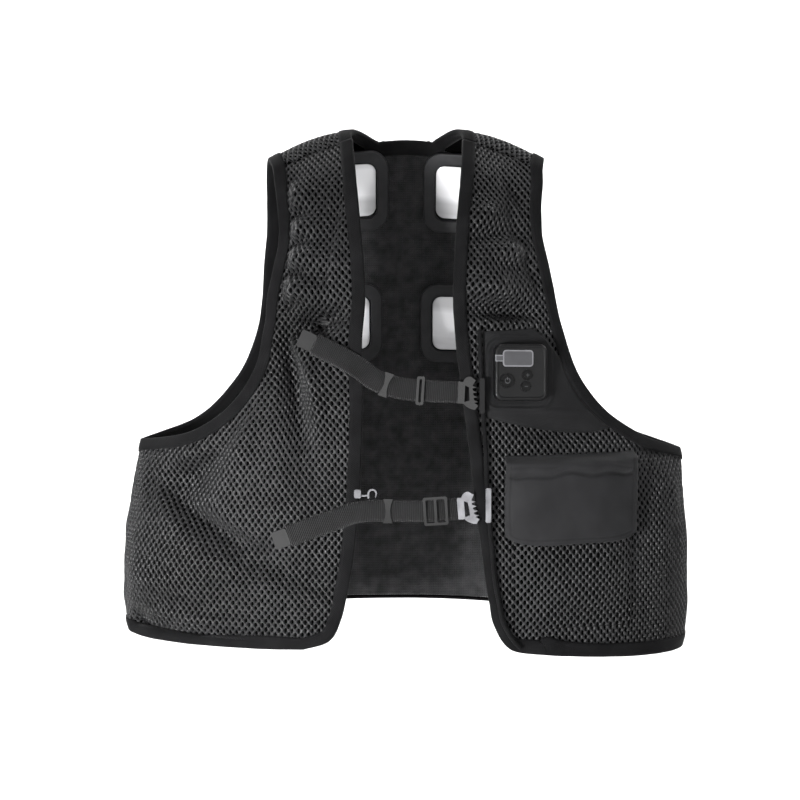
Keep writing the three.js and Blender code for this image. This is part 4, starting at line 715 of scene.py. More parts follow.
def panel_net(name, cloth, us, vs, there, within, seed, way=1):
    """The net over one panel, laid out flat first so that its holes keep their size"""
    u, v = grid_of(us, vs)
    sound = there(u, v)
    flat = flatten(cloth, us, vs, sound, way)
    pool = flat[sound]
    pool_uv = np.stack([u[sound], v[sound]], -1)
    centres = lattice(pool.min(0) - 5, pool.max(0) + 5)
    start = np.empty_like(centres)
    for k in range(0, len(centres), 500):
        gap = size_of(centres[k:k + 500, None] - pool[None])
        start[k:k + 500] = pool_uv[gap.argmin(1)]
    u, v, found = inverse(us, vs, flat, centres, start, there)
    found &= within(u, v)
    centres, uv = centres[found], np.stack([u, v], -1)[found]

    def place(places, of_cell):
        u, v, _ = inverse(us, vs, flat, places, uv[of_cell], there)
        return cloth.at(u, v), cloth.normal(u, v)

    return own(net_mesh(name, place, centres, seed)), flat


# Finishes, all worked out by nodes

def fill(item, inputs):
    """Sets the values of a node's inputs"""
    for name, value in inputs.items():
        item.inputs[name].default_value = value
    return item


def node(tree, kind, inputs=None, **settings):
    item = tree.nodes.new("ShaderNode" + kind)
    for name, value in settings.items():
        setattr(item, name, value)
    return fill(item, inputs or {})


def new_material(name, inputs):
    material = bpy.data.materials.new(name)
    material.use_nodes = True
    tree = material.node_tree
    return material, tree, fill(tree.nodes["Principled BSDF"], inputs)


def grey(value, cool=1.06):
    """A grey from 0 to 255 as light, slightly cool"""
    light = (value / 255) ** 2.2
    return (light, light, light * cool)


def toned(tree, factor, low, dark, high, light):
    """A colour that goes from a dark tone at low to a light one at high"""
    ramp = node(tree, "ValToRGB")
    for end, place, tone in zip(ramp.color_ramp.elements, (low, high), (dark, light)):
        end.position = place
        end.color = (*tone, 1)
    tree.links.new(factor, ramp.inputs["Fac"])
    return ramp.outputs["Color"]


def textured(tree, kind, coords, inputs, **settings):
    """The factor of a texture over one of the kinds of coordinates"""
    texture = node(tree, kind, inputs, **settings)
    tree.links.new(coords, texture.inputs["Vector"])
    return texture.outputs["Fac"]


def mottled(tree, shader, dark, light, scale):
    """A colour that varies softly between two greys"""
    place = node(tree, "TexCoord")
    noise = textured(tree, "TexNoise", place.outputs["Object"], {"Scale": scale, "Detail": 5})
    tree.links.new(toned(tree, noise, 0.3, grey(dark), 0.7, grey(light)), shader.inputs["Base Color"])
    return place


def weave_height(tree, place, wide, long, turn):
    """Two crossed waves: the rise and fall of threads"""
    mapping = node(tree, "Mapping", {"Rotation": (0, 0, turn)})
    tree.links.new(place.outputs["UV"], mapping.inputs["Vector"])
    total = node(tree, "Math", operation="MULTIPLY")
    for k, (axis, scale) in enumerate((("X", wide), ("Y", long))):
        inputs = {"Scale": scale, "Distortion": 0.4, "Detail": 1}
        coords = mapping.outputs["Vector"]
        wave = textured(tree, "TexWave", coords, inputs, wave_type="BANDS", bands_direction=axis)
        tree.links.new(wave, total.inputs[k])
    return total.outputs["Value"]


def add_bump(tree, shader, height, distance):
    bump = node(tree, "Bump", {"Distance": distance, "Strength": 1.0})
    tree.links.new(height, bump.inputs["Height"])
    tree.links.new(bump.outputs["Normal"], shader.inputs["Normal"])


def cloth_finish(name, dark, light, wide, long, rough, sheen, shine=0.1, depth=0.0002, scale=30, turn=0.0):
    material, tree, shader = new_material(name, {
        "Roughness": rough, "Specular IOR Level": shine, "Sheen Weight": sheen, "Sheen Roughness": 0.4,
    })
    place = mottled(tree, shader, dark, light, scale)
    add_bump(tree, shader, weave_height(tree, place, wide, long, turn), depth)
    return material


def hard_finish(name, dark, light, rough, coat=0.0, grain=400, depth=0.00002, shine=0.25):
    material, tree, shader = new_material(name, {
        "Roughness": rough, "Specular IOR Level": shine, "Coat Weight": coat,
    })
    place = mottled(tree, shader, dark, light, 60)
    add_bump(tree, shader, textured(tree, "TexNoise", place.outputs["Object"], {"Scale": grain}), depth)
    return material


def mirror_finish():
    """Polished metal whose colour is a painted reflection: near white, with broad soft grey rings painted
    over it
    """
    material, tree, shader = new_material("cold metal", {
        "Metallic": 0.12, "Roughness": 0.14, "Coat Weight": 0.4, "Coat Roughness": 0.05,
    })
    place = node(tree, "TexCoord")
    inputs = {"Scale": 5.5, "Distortion": 2.2, "Detail": 0}
    painted_reflection_arcs = textured(tree, "TexWave", place.outputs["Object"], inputs, wave_type="RINGS")
    # painted reflection: light grey to white rings in the base colour stand in for the white studio mirrored
    # in the plate
    colour = toned(tree, painted_reflection_arcs, 0.1, grey(206, 1.02), 0.5, grey(250, 1.02))
    tree.links.new(colour, shader.inputs["Base Color"])
    return material


FINISH = {
    "net": cloth_finish("net cloth", 21, 38, 24, 24, 0.4, 0.04, shine=0.3, depth=0.00015, scale=9),
    "backing": cloth_finish("backing cloth", 6, 10, 16, 16, 0.95, 0.0, shine=0.03),
    "tape": cloth_finish("binding tape", 20, 27, 16, 16, 0.8, 0.05, shine=0.05, turn=0.6),
    "lining": cloth_finish("lining", 26, 50, 14, 14, 0.6, 0.15, shine=0.2, depth=0.0007, scale=70),
    "patch": cloth_finish("patch cloth", 26, 32, 26, 26, 0.6, 0.06, depth=0.00015),
    "flap": cloth_finish("flap cloth", 33, 39, 26, 26, 0.7, 0.08, depth=0.00015),
    "webbing": cloth_finish("webbing", 15, 27, 15, 40, 0.5, 0.1, shine=0.15, depth=0.0009),
    "rubber": hard_finish("rubber", 44, 50, 0.5, grain=900, depth=0.00004, shine=0.15),
    "mirror": mirror_finish(),
    "plastic": hard_finish("dull plastic", 19, 23, 0.35, grain=1500, depth=0.00003, shine=0.2),
    "gloss": hard_finish("black plastic", 16, 22, 0.15, coat=0.15, grain=300, shine=0.5),
    # painted highlight: a light grey copy of the black plastic, for fittings whose glint of the lamps is
    # painted into their colour
    "painted_highlight": hard_finish("black fitting with painted highlight", 86, 126, 0.3, coat=0.2, grain=90),
    "keys": hard_finish("key plastic", 12, 16, 0.4, grain=900, shine=0.15),
    "display": hard_finish("display", 66, 72, 0.4, shine=0.1),
    "outline": hard_finish("display line", 104, 112, 0.5, shine=0.1),
    "symbol": hard_finish("key symbol", 76, 84, 0.5, shine=0.1),
    "clip": hard_finish("light plastic", 90, 104, 0.35),
    "thread": hard_finish("thread", 50, 60, 0.8, grain=2000, shine=0.1),
}


def own(obj, *replaced):
    """Marks a piece as part of the vest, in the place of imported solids"""
    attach(obj, "root")
    if replaced:
        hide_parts(*replaced)
    return obj


def cloth_area(points):
    """The area of a grid of points, in square metres"""
    a = points[1:, :-1] - points[:-1, :-1]
    b = points[:-1, 1:] - points[:-1, :-1]
    c = points[1:, :-1] - points[1:, 1:]
    d = points[:-1, 1:] - points[1:, 1:]
    return float((size_of(np.cross(a, b)) + size_of(np.cross(c, d))).sum() / 2) * MM * MM


def declare(obj, points, flat, pieces=()):
    """Works out the flat size that a piece's points have when laid out, and keeps nothing"""
    wide, long = [float(flat[..., k].max() - flat[..., k].min()) * MM for k in (0, 1)]
    area = cloth_area(points)
    wide *= max(area / (wide * long), 1)


def backing(name, cloth, us, vs):
    """The dark cloth under a net"""
    u, v = grid_of(us, vs)
    low, high = [cloth.at(u, v, height) for height in BACKING]
    flat = np.stack([u * CHEST_HALF, v * BODY_LENGTH], -1)
    return shell_mesh(name, low, high, FINISH["backing"], flat), high


# The panels: a dark backing under a net

def front_panel(cloth, name, seed, way):
    us, vs = np.linspace(0, 1, 25), np.linspace(0, 1, 73)

    def there(u, _v):
        return np.ones(u.shape, bool)

    def within(u, v):
        return (u > NET_MARGIN) & (u < 1) & (v > 0) & (v < 1 - NET_MARGIN)

    net, flat = panel_net("net_" + name, cloth, us, vs, there, within, seed, way)
    body, points = backing("front_cloth_" + name, cloth, np.linspace(0, 1, 49), np.linspace(0, 1, 145))
    declare(own(body, "front_panel_" + name), points, flat, [net])


def rear_panel():
    rows_above = 13
    us, vs = neck_steps(15, 9), seam_steps(rows_above, 61)
    nets = []

    def there(u, v):
        return (v >= -0.001) | (np.abs(u) >= NECK_SHARE - 0.001)

    for name, low, high in (("right", -1, 0), ("left", 0, 1)):

        def within(u, v):
            return (u >= low) & (u < high) & (v < 1 - NET_MARGIN) & (v > -1)

        net, flat = panel_net("net_back_" + name, rear, us, vs, there, within, 6)
        nets.append(net)
    body, points = backing("back_cloth", rear, neck_steps(33, 17), np.linspace(0, 1, 121))
    own(body, "back_panel")
    steps = np.linspace(0, 1, 33)
    for name, low, high in (("right", -1, -NECK_SHARE), ("left", NECK_SHARE, 1)):
        top, top_points = backing("shoulder_cloth_" + name, rear, np.linspace(low, high, 33), steps - 1)
        wide = size_of(top_points[-1, 0] - top_points[0, 0]) * 1.12
        declare(own(top), top_points, np.stack(grid_of(steps * wide, steps * run_of(top_points[16])[-1]), -1))
    declare(body, points, flat[:, rows_above - 1:], nets)


front_panel(right, "right", 3, -1)
front_panel(left, "left", 4, 1)
rear_panel()


# The fine cloth inside the back, loose in small wrinkles below the plates

def lining_piece():
    us, vs = np.linspace(-0.965, 0.965, 121), np.linspace(0.012, 0.985, 161)
    u, v = grid_of(us, vs)
    p = rear.at(u, v)
    rng = np.random.default_rng(12)
    above_hem = 1 - smooth(v, 0.93, 0.98)
    low = smooth(v, 0.60, 0.72) * above_hem
    mid = smooth(v, 0.03, 0.08) * above_hem * (1 - smooth(np.abs(u), 0.8, 0.95))
    height = np.zeros_like(u)
    for _ in range(16):
        across, down = rng.uniform(-0.75, 0.75), rng.uniform(0.68, 0.93)
        turn = rng.normal(0, 0.35)
        a = (u - across) * CHEST_HALF * 0.8
        b = (v - down) * BODY_LENGTH
        along = a * math.cos(turn) + b * math.sin(turn)
        over = b * math.cos(turn) - a * math.sin(turn)
        high = rng.uniform(1.0, 2.6)
        height += high * np.exp(-(along / rng.uniform(30, 60)) ** 2 - (over / rng.uniform(5, 10)) ** 2)
    height = np.minimum(height, 4) * low
    for _ in range(30):
        angle, length = rng.uniform(0, math.pi), rng.uniform(18, 60)
        run = math.cos(angle) * p[..., 0] + math.sin(angle) * p[..., 2]
        height += 0.13 * mid * np.sin(2 * math.pi * run / length + rng.uniform(0, 6))
    face = -(WALL / 2 + 0.6 + 0.8 * mid + height)
    high = rear.at(u, v, np.full_like(u, -WALL / 2 - 0.08))
    laid = np.stack([np.full(u.shape, 4.0) * np.arange(len(us))[:, None], v * BODY_LENGTH], -1)
    obj = own(shell_mesh("inner_cloth", rear.at(u, v, face), high, FINISH["lining"],
                         np.stack([p[..., 0], -p[..., 2]], -1)), "back_lining")
    declare(obj, high, laid, [stitched(face, us, vs)])


def stitched(face, us, vs):
    """Lines of stitches on the inner cloth: two short ones down and three across"""
    lines = []
    for x, z0, z1 in ((22, -118, -182), (-4, -118, -182)):
        zs = np.arange(z1, z0, STITCH["step"])
        lines.append((np.full(zs.shape, float(x)), zs, [0, 0, 1.0]))
    for z, x0, x1 in ((-125, -150, 150), (-166, -150, 150), (-352, -190, 190)):
        xs = np.arange(x0, x1, STITCH["step"])
        lines.append((xs, np.full(xs.shape, float(z)), [1.0, 0, 0]))
    sides = STITCH["sides"]
    turns = 2 * math.pi * np.arange(sides) / sides
    vertices, faces = [], []
    for xs, zs, way in lines:
        u, v = rear.locate(xs, zs, 0.1, 0.3)
        centre = rear.at(u, v, sample(face[..., None], us, vs, u, v)[..., 0] - 0.15)
        n = -rear.normal(u, v)
        ahead = unit(np.array(way) - n * (n @ np.array(way))[:, None])
        side = np.cross(n, ahead)
        for c, m, a, s in zip(centre, n, ahead, side):
            faces += closed_faces(4, sides, len(vertices))
            for end, size in ((-1.5, 0.12), (-0.8, 0.4), (0.8, 0.4), (1.5, 0.12)):
                vertices += [c + a * end + (s * math.cos(turn) + m * math.sin(turn)) * size for turn in turns]
    return own(new_object("lining_stitches", vertices, faces, FINISH["thread"]))


lining_piece()


# The tapes

def line(cloth, start, end, count):
    """Places evenly along an edge of a cloth, by length"""
    share = np.linspace(0, 1, 600)
    run = run_of(cloth.at(*[mix(a, b, share) for a, b in zip(start, end)]))
    even = np.interp(np.linspace(0, run[-1], count), run, share)
    return mix(start[0], end[0], even), mix(start[1], end[1], even)


def joined(cloth, *lines):
    """Lines that follow each other on one cloth, each without its first place after the first line"""
    return [(cloth, *lines[0])] + [(cloth, u[1:], v[1:]) for u, v in lines[1:]]


def tapes():
    for side, cloth, name in ((-1, right, "right"), (1, left, "left")):
        front = joined(cloth, line(cloth, (0, 0), (0, 1), 192), line(cloth, (0, 1), (1, 1), 76))
        folded_tape("front_tape_" + name, front, False, side, side + 3)
        arm_front = line(cloth, (1, 0), (1, FRONT_UNDERARM), 118)
        arm_back = line(rear, (side, BACK_UNDERARM), (side, -1), 150)
        arm = [(cloth, *arm_front), (rear, arm_back[0][1:-1], arm_back[1][1:-1])]
        folded_tape("armhole_tape_" + name, arm, True, -side, side + 6)
    folded_tape("back_hem_tape", [(rear, *line(rear, (-1, 1), (1, 1), 210))], False, 1, 9)
    neck = joined(
        rear, line(rear, (-NECK_SHARE, -1), (-NECK_SHARE, 0), 44),
        line(rear, (-NECK_SHARE, 0), (NECK_SHARE, 0), 40), line(rear, (NECK_SHARE, 0), (NECK_SHARE, -1), 44))
    folded_tape("neck_tape", neck, False, 1, 10)


tapes()


# The plates and their rubber frames

def rounded_loop(width, height, corner, parts=8):
    points = []
    for sx, sz, start in ((1, 1, 0), (-1, 1, 90), (-1, -1, 180), (1, -1, 270)):
        for k in range(parts + 1):
            angle = math.radians(start + 90 * k / parts)
            points.append((sx * (width / 2 - corner) + corner * math.cos(angle),
                           sz * (height / 2 - corner) + corner * math.sin(angle)))
    return np.array(points)


def seat_of(name):
    """Where a packed flat piece lies: its middle and its axes, the last one out of its face"""
    mesh = nodes[name].data
    points = np.empty(len(mesh.vertices) * 3)
    mesh.vertices.foreach_get("co", points)
    points = np.unique(np.round(points.reshape(-1, 3) / MM, 3), axis=0)
    _, _, axes = np.linalg.svd(points - points.mean(0), full_matrices=False)
    out = axes[2] * -np.sign(axes[2][1])
    across = unit(np.array([1.0, 0, 0]) - out * out[0])
    axes = (across, np.cross(out, across), out)
    spread = [points @ axis for axis in axes]
    return (sum(axis * (s.max() + s.min()) / 2 for axis, s in zip(axes, spread)), *axes)


def on_seat(seat, points, height):
    """Flat points at a height over a seat"""
    middle, across, up, out = seat
    points = np.asarray(points)
    return middle + points[:, :1] * across + points[:, 1:] * up + height * out


def rings_piece(name, rings, material, seat):
    """Loops of flat points at heights over a seat, joined into a closed piece"""
    return tube(name, np.stack([on_seat(seat, loop, height) for loop, height in rings]), material)


def bevelled(size, parts, soft):
    """Rings of a plate with a rounded rim, its middle at half its thickness"""
    width, height, corner = size["width"], size["height"], size["corner"]
    thick, bevel = size["thick"], size["bevel"]
    rings = [(bevel, -thick / 2), (0, -thick / 2 + bevel)]
    for k in range(soft + 1):
        angle = math.pi / 2 * k / soft
        rings.append((bevel * (1 - math.cos(angle)), thick / 2 - bevel + bevel * math.sin(angle)))
    return [(rounded_loop(width - 2 * inset, height - 2 * inset, max(corner - inset, 0.2), parts), rise)
            for inset, rise in rings]


def rubber_frame(name, unit_row):
    """A rubber frame with rounded rims, bent to the cloth behind it"""
    x, z = unit_row["x"], -unit_row["drop"]
    inside = [PLATE[key] + 2 * GASKET["groove"] for key in ("width", "height")]
    outside = [size + 2 * GASKET["band"] for size in inside]
    base = -(WALL / 2 + GAP + LINING) - unit_row["lift"]
    top = base - GASKET["thick"]
    profile = [(0, base), (1, base), (1, top + GASKET["round"])]
    for m in range(1, 5):
        angle = math.pi / 2 * m / 4
        inset = GASKET["round"] * (1 - math.cos(angle))
        profile.append((1 - inset / GASKET["band"], top + GASKET["round"] * (1 - math.sin(angle))))
    for m in range(4):
        angle = math.pi / 2 * m / 3
        inset = GASKET["inner_round"] * (1 - math.sin(angle))
        profile.append((inset / GASKET["band"], top + GASKET["inner_round"] * (1 - math.cos(angle))))
    rings = []
    for share, height in profile:
        corner = mix(PLATE["corner"] + GASKET["groove"], GASKET["corner"], share)
        loop = rounded_loop(mix(inside[0], outside[0], share), mix(inside[1], outside[1], share), corner)
        u, v = rear.locate(x + loop[:, 0], z + loop[:, 1], math.copysign(0.25, x), -z / BODY_LENGTH)
        rings.append(rear.at(u, v, height))
    faces = grid_faces(len(rings) + 1, len(rings[0]), closed=True) % (len(rings) * len(rings[0]))
    return tidy_faces(new_object(name, np.concatenate(rings), faces, FINISH["rubber"]))


for unit_count, unit_row in enumerate(UNITS, 1):
    plate_name = f"cold_plate_{unit_count}"
    plate = rings_piece(f"mirror_plate_{unit_count}", bevelled(PLATE, 10, 4),
                        FINISH["mirror"], seat_of(plate_name))
    own(plate, plate_name)
    own(rubber_frame(f"rubber_frame_{unit_count}", unit_row), f"plate_gasket_{unit_count}")


# The patch, pressed down round the controller, and the controller itself

controller_seat = seat_of("controller_body")


def patch_piece():
    s, t = grid_of(np.linspace(0, 1, 111), np.linspace(0, 1, 101))
    top = PATCH["top"] + PATCH["corner"] * np.maximum(0, s * 3 - 2) ** 2
    v = mix(top, mix(PATCH["bottom_inner"], PATCH["bottom_outer"], s), t)
    zero, one = np.zeros_like(v), np.ones_like(v)
    edge, arm = left.at(zero, v), left.at(one, v)
    across = unit(left.at(zero + 0.05, v) - edge)
    along = unit(left.at(one, v + 0.02) - left.at(one, v - 0.02))
    inwards = np.cross(along, left.normal(one, v))
    inwards = unit(inwards * np.sign(((edge - arm) * inwards).sum(-1, keepdims=True)))
    from_edge = np.interp(v, *zip(*RAIL_ROUTE)) * TAPE_WIDTH + RAIL["radius"] + GAP * 3
    iu, iv = walk(left, zero, v, across, from_edge)[-1]
    ou, ov = walk(left, one, v, inwards, TAPE_WIDTH + GAP)[-1]
    u, v = mix(iu, ou, s), mix(iv, ov, s)
    low = WALL / 2 + PATCH["lift"]
    p = left.at(u, v, low)
    middle, x_axis, up, _ = controller_seat
    a, b = (p - middle) @ x_axis, (p - middle) @ up
    corner, half = CONTROLLER["corner"], CONTROLLER["height"] / 2
    away = np.hypot(np.maximum(np.abs(a) - CONTROLLER["width"] / 2 + corner, 0),
                    np.maximum(np.abs(b) - half + corner, 0)) - corner
    rim = smooth(np.minimum(np.minimum(s, 1 - s), np.minimum(t, 1 - t)), 0, 0.04)
    ridge = 1.5 * np.exp(-((away - 9) / 2.0) ** 2) + 0.5 * np.exp(-((away - 4) / 2.0) ** 2)
    wave = 0.9 * np.exp(-((b + half + 9 + 0.06 * a) / 3) ** 2) * (b < -half)
    high = left.at(u, v, low + PATCH["wall"] * (0.3 + 0.7 * rim) + rim * (ridge + wave))
    flat = np.stack([s * 120, t * 85], -1)
    declare(own(shell_mesh("patch_cloth", p, high, FINISH["patch"], flat), "controller_patch"), high, flat)


def flat_bar(name, shapes, thick, material, seat):
    """Flat outlines raised a little from a face"""
    vertices, faces = [], []
    for outline in shapes:
        faces += closed_faces(2, len(outline), len(vertices))
        vertices += [*on_seat(seat, outline, 0), *on_seat(seat, outline, thick)]
    return own(tidy_faces(new_object(name, vertices, faces, material, smooth_faces=False)))


def bar(x0, y0, x1, y1):
    """The outline of an upright bar"""
    return [(x0, y0), (x1, y0), (x1, y1), (x0, y1)]


def ring_outlines(outer, inner, start, end, parts):
    """Part of a ring, as short wedges"""
    angles = [math.radians(start + (end - start) * k / parts) for k in range(parts + 1)]
    rims = [[(radius * math.cos(a), radius * math.sin(a)) for a in angles] for radius in (outer, inner)]
    return [[rims[0][k], rims[0][k + 1], rims[1][k + 1], rims[1][k]] for k in range(parts)]


def battery(seat):
    """The display: a battery's picture and its outline"""
    w, h, corner = BATTERY["width"] / 2, BATTERY["height"] / 2, BATTERY["corner"]
    tip, stub_h = -w - BATTERY["stub"], BATTERY["stub_height"] / 2
    line_wide, stub_line = BATTERY_LINE["case"], BATTERY_LINE["stub"]
    fill_shape = rounded_loop(2 * w - 2.4, 2 * h - 2.4, corner - 1.2, 6)
    stub = bar(tip + stub_line, stub_line - stub_h, 0.4 - w, stub_h - stub_line)
    display = flat_bar("display_fill", [fill_shape, stub], GAP + 0.75, FINISH["display"], seat)
    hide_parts("controller_display")
    outer = rounded_loop(2 * w, 2 * h, corner, 6)
    inner = rounded_loop(2 * w - 2 * line_wide, 2 * h - 2 * line_wide, corner - line_wide, 6)
    after = np.roll(outer, -1, 0), np.roll(inner, -1, 0)
    shapes = [[a, b, c, d] for a, b, c, d in zip(outer, *after, inner)] + [
        bar(tip, stub_h - stub_line, -w, stub_h), bar(tip, -stub_h, -w, stub_line - stub_h),
        bar(tip, stub_line - stub_h, tip + stub_line, stub_h - stub_line),
    ]
    flat_bar("display_outline", shapes, GAP + 0.85, FINISH["outline"], seat)


def controller():
    middle, across, up, out = controller_seat
    thick, half = CONTROLLER["thick"], CONTROLLER["height"] / 2
    body = bevelled(CONTROLLER, 10, 6)
    for inset, deep in ((3.4, 0), (3.9, 0.25), (4.4, 0.6), (5.2, 0.6)):
        width, height = [CONTROLLER[key] - 2 * inset for key in ("width", "height")]
        body.append((rounded_loop(width, height, CONTROLLER["corner"] - inset * 0.7, 10), thick / 2 - deep))
    own(rings_piece("controller_case", body, FINISH["plastic"], controller_seat), "controller_body")
    face = middle + out * thick / 2
    battery((face + across * BATTERY["side"] + up * (half - BATTERY["drop"]), across, up, out))
    thin, arm = SYMBOL["line"] / 2, SYMBOL["arm"]
    minus = [bar(-arm, -thin, arm, thin)]
    low, high = SYMBOL["stem"]
    symbols = {
        "power_key": ring_outlines(*SYMBOL["ring"], 120, 420, 30) + [bar(-thin, low, thin, high)],
        "plus_key": minus + [bar(-thin, thin, thin, arm), bar(-thin, -arm, thin, -thin)],
        "minus_key": minus,
    }
    shapes = []
    for name, (radius, side, drop) in KEYS.items():
        rings = []
        for inset, height in ((0, -0.5), (0, 0.9), (0.12, 1.12), (0.35, 1.2), (0.6, 1.2), (1.3, 1.2)):
            wide = radius - inset
            rings.append((rounded_loop(2 * wide, 2 * wide, wide, 12), height))
        seat = (face + across * side + up * (half - drop), across, up, out)
        own(rings_piece("button_" + name.split("_")[0], rings, FINISH["keys"], seat), name)
        shapes += [np.array(shape) + [side, half - drop] for shape in symbols[name]]
    flat_bar("key_symbols", shapes, 0.14, FINISH["symbol"], (face + out * 1.1, across, up, out))


patch_piece()
controller()


# The pocket: a net bag under a smooth flap

def round_share(s):
    return 1 - np.abs(2 * s - 1) ** 4


def pocket():
    corner = np.array([POCKET["left"], POCKET["top"]])
    size = np.array([POCKET["right"], POCKET["bottom"]]) - corner
    ss, ts = np.linspace(0, 1, 71), np.linspace(0, 1, 81)
    s, t = grid_of(ss, ts)
    flat = corner + np.stack([s, t], -1) * size
    u, v = left.locate(flat[..., 0], -flat[..., 1], 0.45, 0.8)
    sag = 2.2 * np.exp(-((s - 0.95) / 0.025) ** 2) * smooth(t, 0.4, 0.6)
    sag -= 1.2 * np.exp(-((t - 0.86 - 0.05 * s) / 0.05) ** 2)
    height = WALL / 2 + SEAT + POCKET["full"] * round_share(s) * (1 - t ** 4) * mix(1, 0.8, t)
    height = np.maximum(height + sag * round_share(s), WALL / 2 + 0.5)
    high = left.at(u, v, height + 0.5)
    bag = own(shell_mesh("pocket_cloth", left.at(u, v, height), high, FINISH["backing"], flat), "pocket_body")
    points = left.at(u, v, height + POCKET["wall"] - 1.6)
    facing = unit(np.cross(np.gradient(points, ss, axis=0), np.gradient(points, ts, axis=1)))
    cloth = Cloth(ss, ts, points, facing * -np.sign(facing[..., 1].mean()))
    centres = lattice(corner + [0, POCKET["hidden"]], corner + size)
    share = (centres - corner) / size
    centres = centres[((share > 0) & (share < 1)).all(-1)]

    def place(places, _of_cell):
        a, b = np.clip((places - corner) / size, 0, 1).T
        return cloth.at(a, b), cloth.normal(a, b)

    declare(bag, high, flat, [own(net_mesh("pocket_net", place, centres, 14))])


def flap():
    s, t = grid_of(np.linspace(0, 1, 121), np.linspace(0, 1, 81))
    wide, long = FLAP["right"] - FLAP["left"], FLAP["bottom"] - FLAP["top"]
    drop = mix(FLAP["top"], FLAP["bottom"], t * (1 - 0.10 * np.abs(2 * s - 1) ** 6))
    x = mix(FLAP["left"], FLAP["right"], s)
    u, v = left.locate(x, -drop, 0.45, 0.8)
    over = POCKET["full"] * mix(round_share(s), 1, 0.35) + POCKET["wall"] + FLAP["clear"]
    inside = np.minimum(np.minimum(s, 1 - s) * wide, (1 - t) * long)
    hem = 0.45 * (1 - smooth(inside, 5.2, 6.4)) - 0.5 * np.exp(-((inside - 6) / 0.6) ** 2)
    crest = 0.145 + 0.022 * np.sin(s * 8 + 0.5) + 0.014 * np.sin(s * 21 + 1)
    fold = 2.6 * np.exp(-((t - crest) / 0.035) ** 2) - 2.4 * np.exp(-((t - crest - 0.075) / 0.022) ** 2)
    soft = 0.6 * np.sin(s * 7 + t * 3) * t + 0.35 * np.sin(s * 17 - t * 5) * t * (1 - t)
    height = WALL / 2 + SEAT + smooth(t, 0, FLAP["rise"]) * over
    height = height + (fold * smooth(t, 0.02, 0.08) + soft) * smooth(inside, 0, 14)
    high = left.at(u, v, height + FLAP["cloth"] + hem * smooth(t, 0.05, 0.1))
    flat = np.stack([x, drop], -1)
    obj = own(shell_mesh("flap_cloth", left.at(u, v, height), high, FINISH["flap"], flat), "pocket_flap")
    declare(obj, high, flat)


pocket()
flap()


# The rail, the straps and their fittings

def rail():
    drops, insets = zip(*RAIL_ROUTE)
    place = np.linspace(0, len(RAIL_ROUTE) - 1, 160)
    v = between(drops, place)
    zero = np.zeros_like(v)
    inwards = unit(left.at(zero + 0.05, v) - left.at(zero, v))
    u, v = walk(left, zero, v, inwards, between(insets, place) * TAPE_WIDTH)[-1]
    radius = RAIL["radius"]
    points = left.at(u, v, WALL / 2 + GAP + TAPE + SEAT + radius)
    ahead = along_line(points)
    n = unit(np.cross(ahead, np.array([0.0, 1, 0])))
    angle = np.linspace(0, 2 * math.pi, 16, endpoint=False)
    turn, side = angle[None, :, None], np.cross(ahead, n)
    rings = points[:, None] + radius * (np.cos(turn) * n[:, None] + np.sin(turn) * side[:, None])
    flat = np.stack(np.broadcast_arrays(run_of(points)[:, None], (angle * radius)[None]), -1)
    own(tube("rail_cord", rings, FINISH["tape"], flat), "rail")


def strap_points(route):
    """The middle line of a strap and the way that it faces"""
    x, drop, over = [np.array(column) for column in zip(*route)]
    x, z = x * CHEST_HALF, -drop * BODY_LENGTH
    lift = WALL / 2 + GAP + TAPE + WEBBING["thick"] / 2 + WEBBING["ease"]
    u, v = right_plain.locate(x[over], z[over], 0.3, drop[0])
    half = WEBBING["width"] / BODY_LENGTH / 2
    folds = np.max([fold_height(FOLDS_RIGHT, u, v + k * half) for k in (-1, -0.5, 0, 0.5, 1)], axis=0)
    points = np.stack([x, np.zeros_like(x), z], -1)
    facing = np.tile([0.0, -1, 0], (len(x), 1))
    points[over] = right_plain.at(u, v, lift + folds)
    facing[over] = right_plain.normal(u, v)
    first = points[over][-1]
    end_u, end_v = np.array([0.0]), drop[-1:] * 0.98
    last = front_points[1](end_u, end_v)[0] + normals(front_points[1], end_u, end_v, -1, 0, 0)[0] * lift
    points[~over, 1] = mix(first[1], last[1], (points[~over, 0] - first[0]) / (last[0] - first[0]))
    return points, facing


def webbing_piece(name, points, facing):
    """Flat webbing along a line, with thinner rims"""
    place = np.linspace(0, len(points) - 1, 400)
    p, n = [np.stack([between(column, place) for column in rows.T], -1) for rows in (points, facing)]
    run = run_of(p)
    length = run[-1]
    share = np.linspace(0, 1, max(8, int(length / 1.5)))

    def look(values, at):
        return np.stack([np.interp(at, run, column) for column in values.T], -1)

    at = share * length
    ahead = unit(look(p, at + 1) - look(p, at - 1))
    out = unit(look(n, at))
    out = unit(out - ahead * (out * ahead).sum(-1, keepdims=True))
    up = np.cross(out, ahead)
    width, thick = WEBBING["width"], WEBBING["cloth"]
    half = [(width * (k / 8 - 0.5), thick / 2 - WEBBING["rim"] * (k in (0, 8))) for k in range(9)]
    section = half + [(-across, -high) for across, high in half]
    rings = np.stack([look(p, at) + up * a + out * b for a, b in section], 1)
    flat = np.stack(np.broadcast_arrays(at[:, None], np.array([a for a, _ in section])[None]), -1)
    web = own(tube("webbing_" + name, rings, FINISH["webbing"], flat), "strap_" + name)


right_plain = cloth_of(front_points[-1], 1, np.linspace(0, 1, 81), np.linspace(0, 1, 241))
rail()
webbing_piece("upper", *strap_points(STRAP_UPPER))
webbing_piece("lower", *strap_points(STRAP_LOWER))


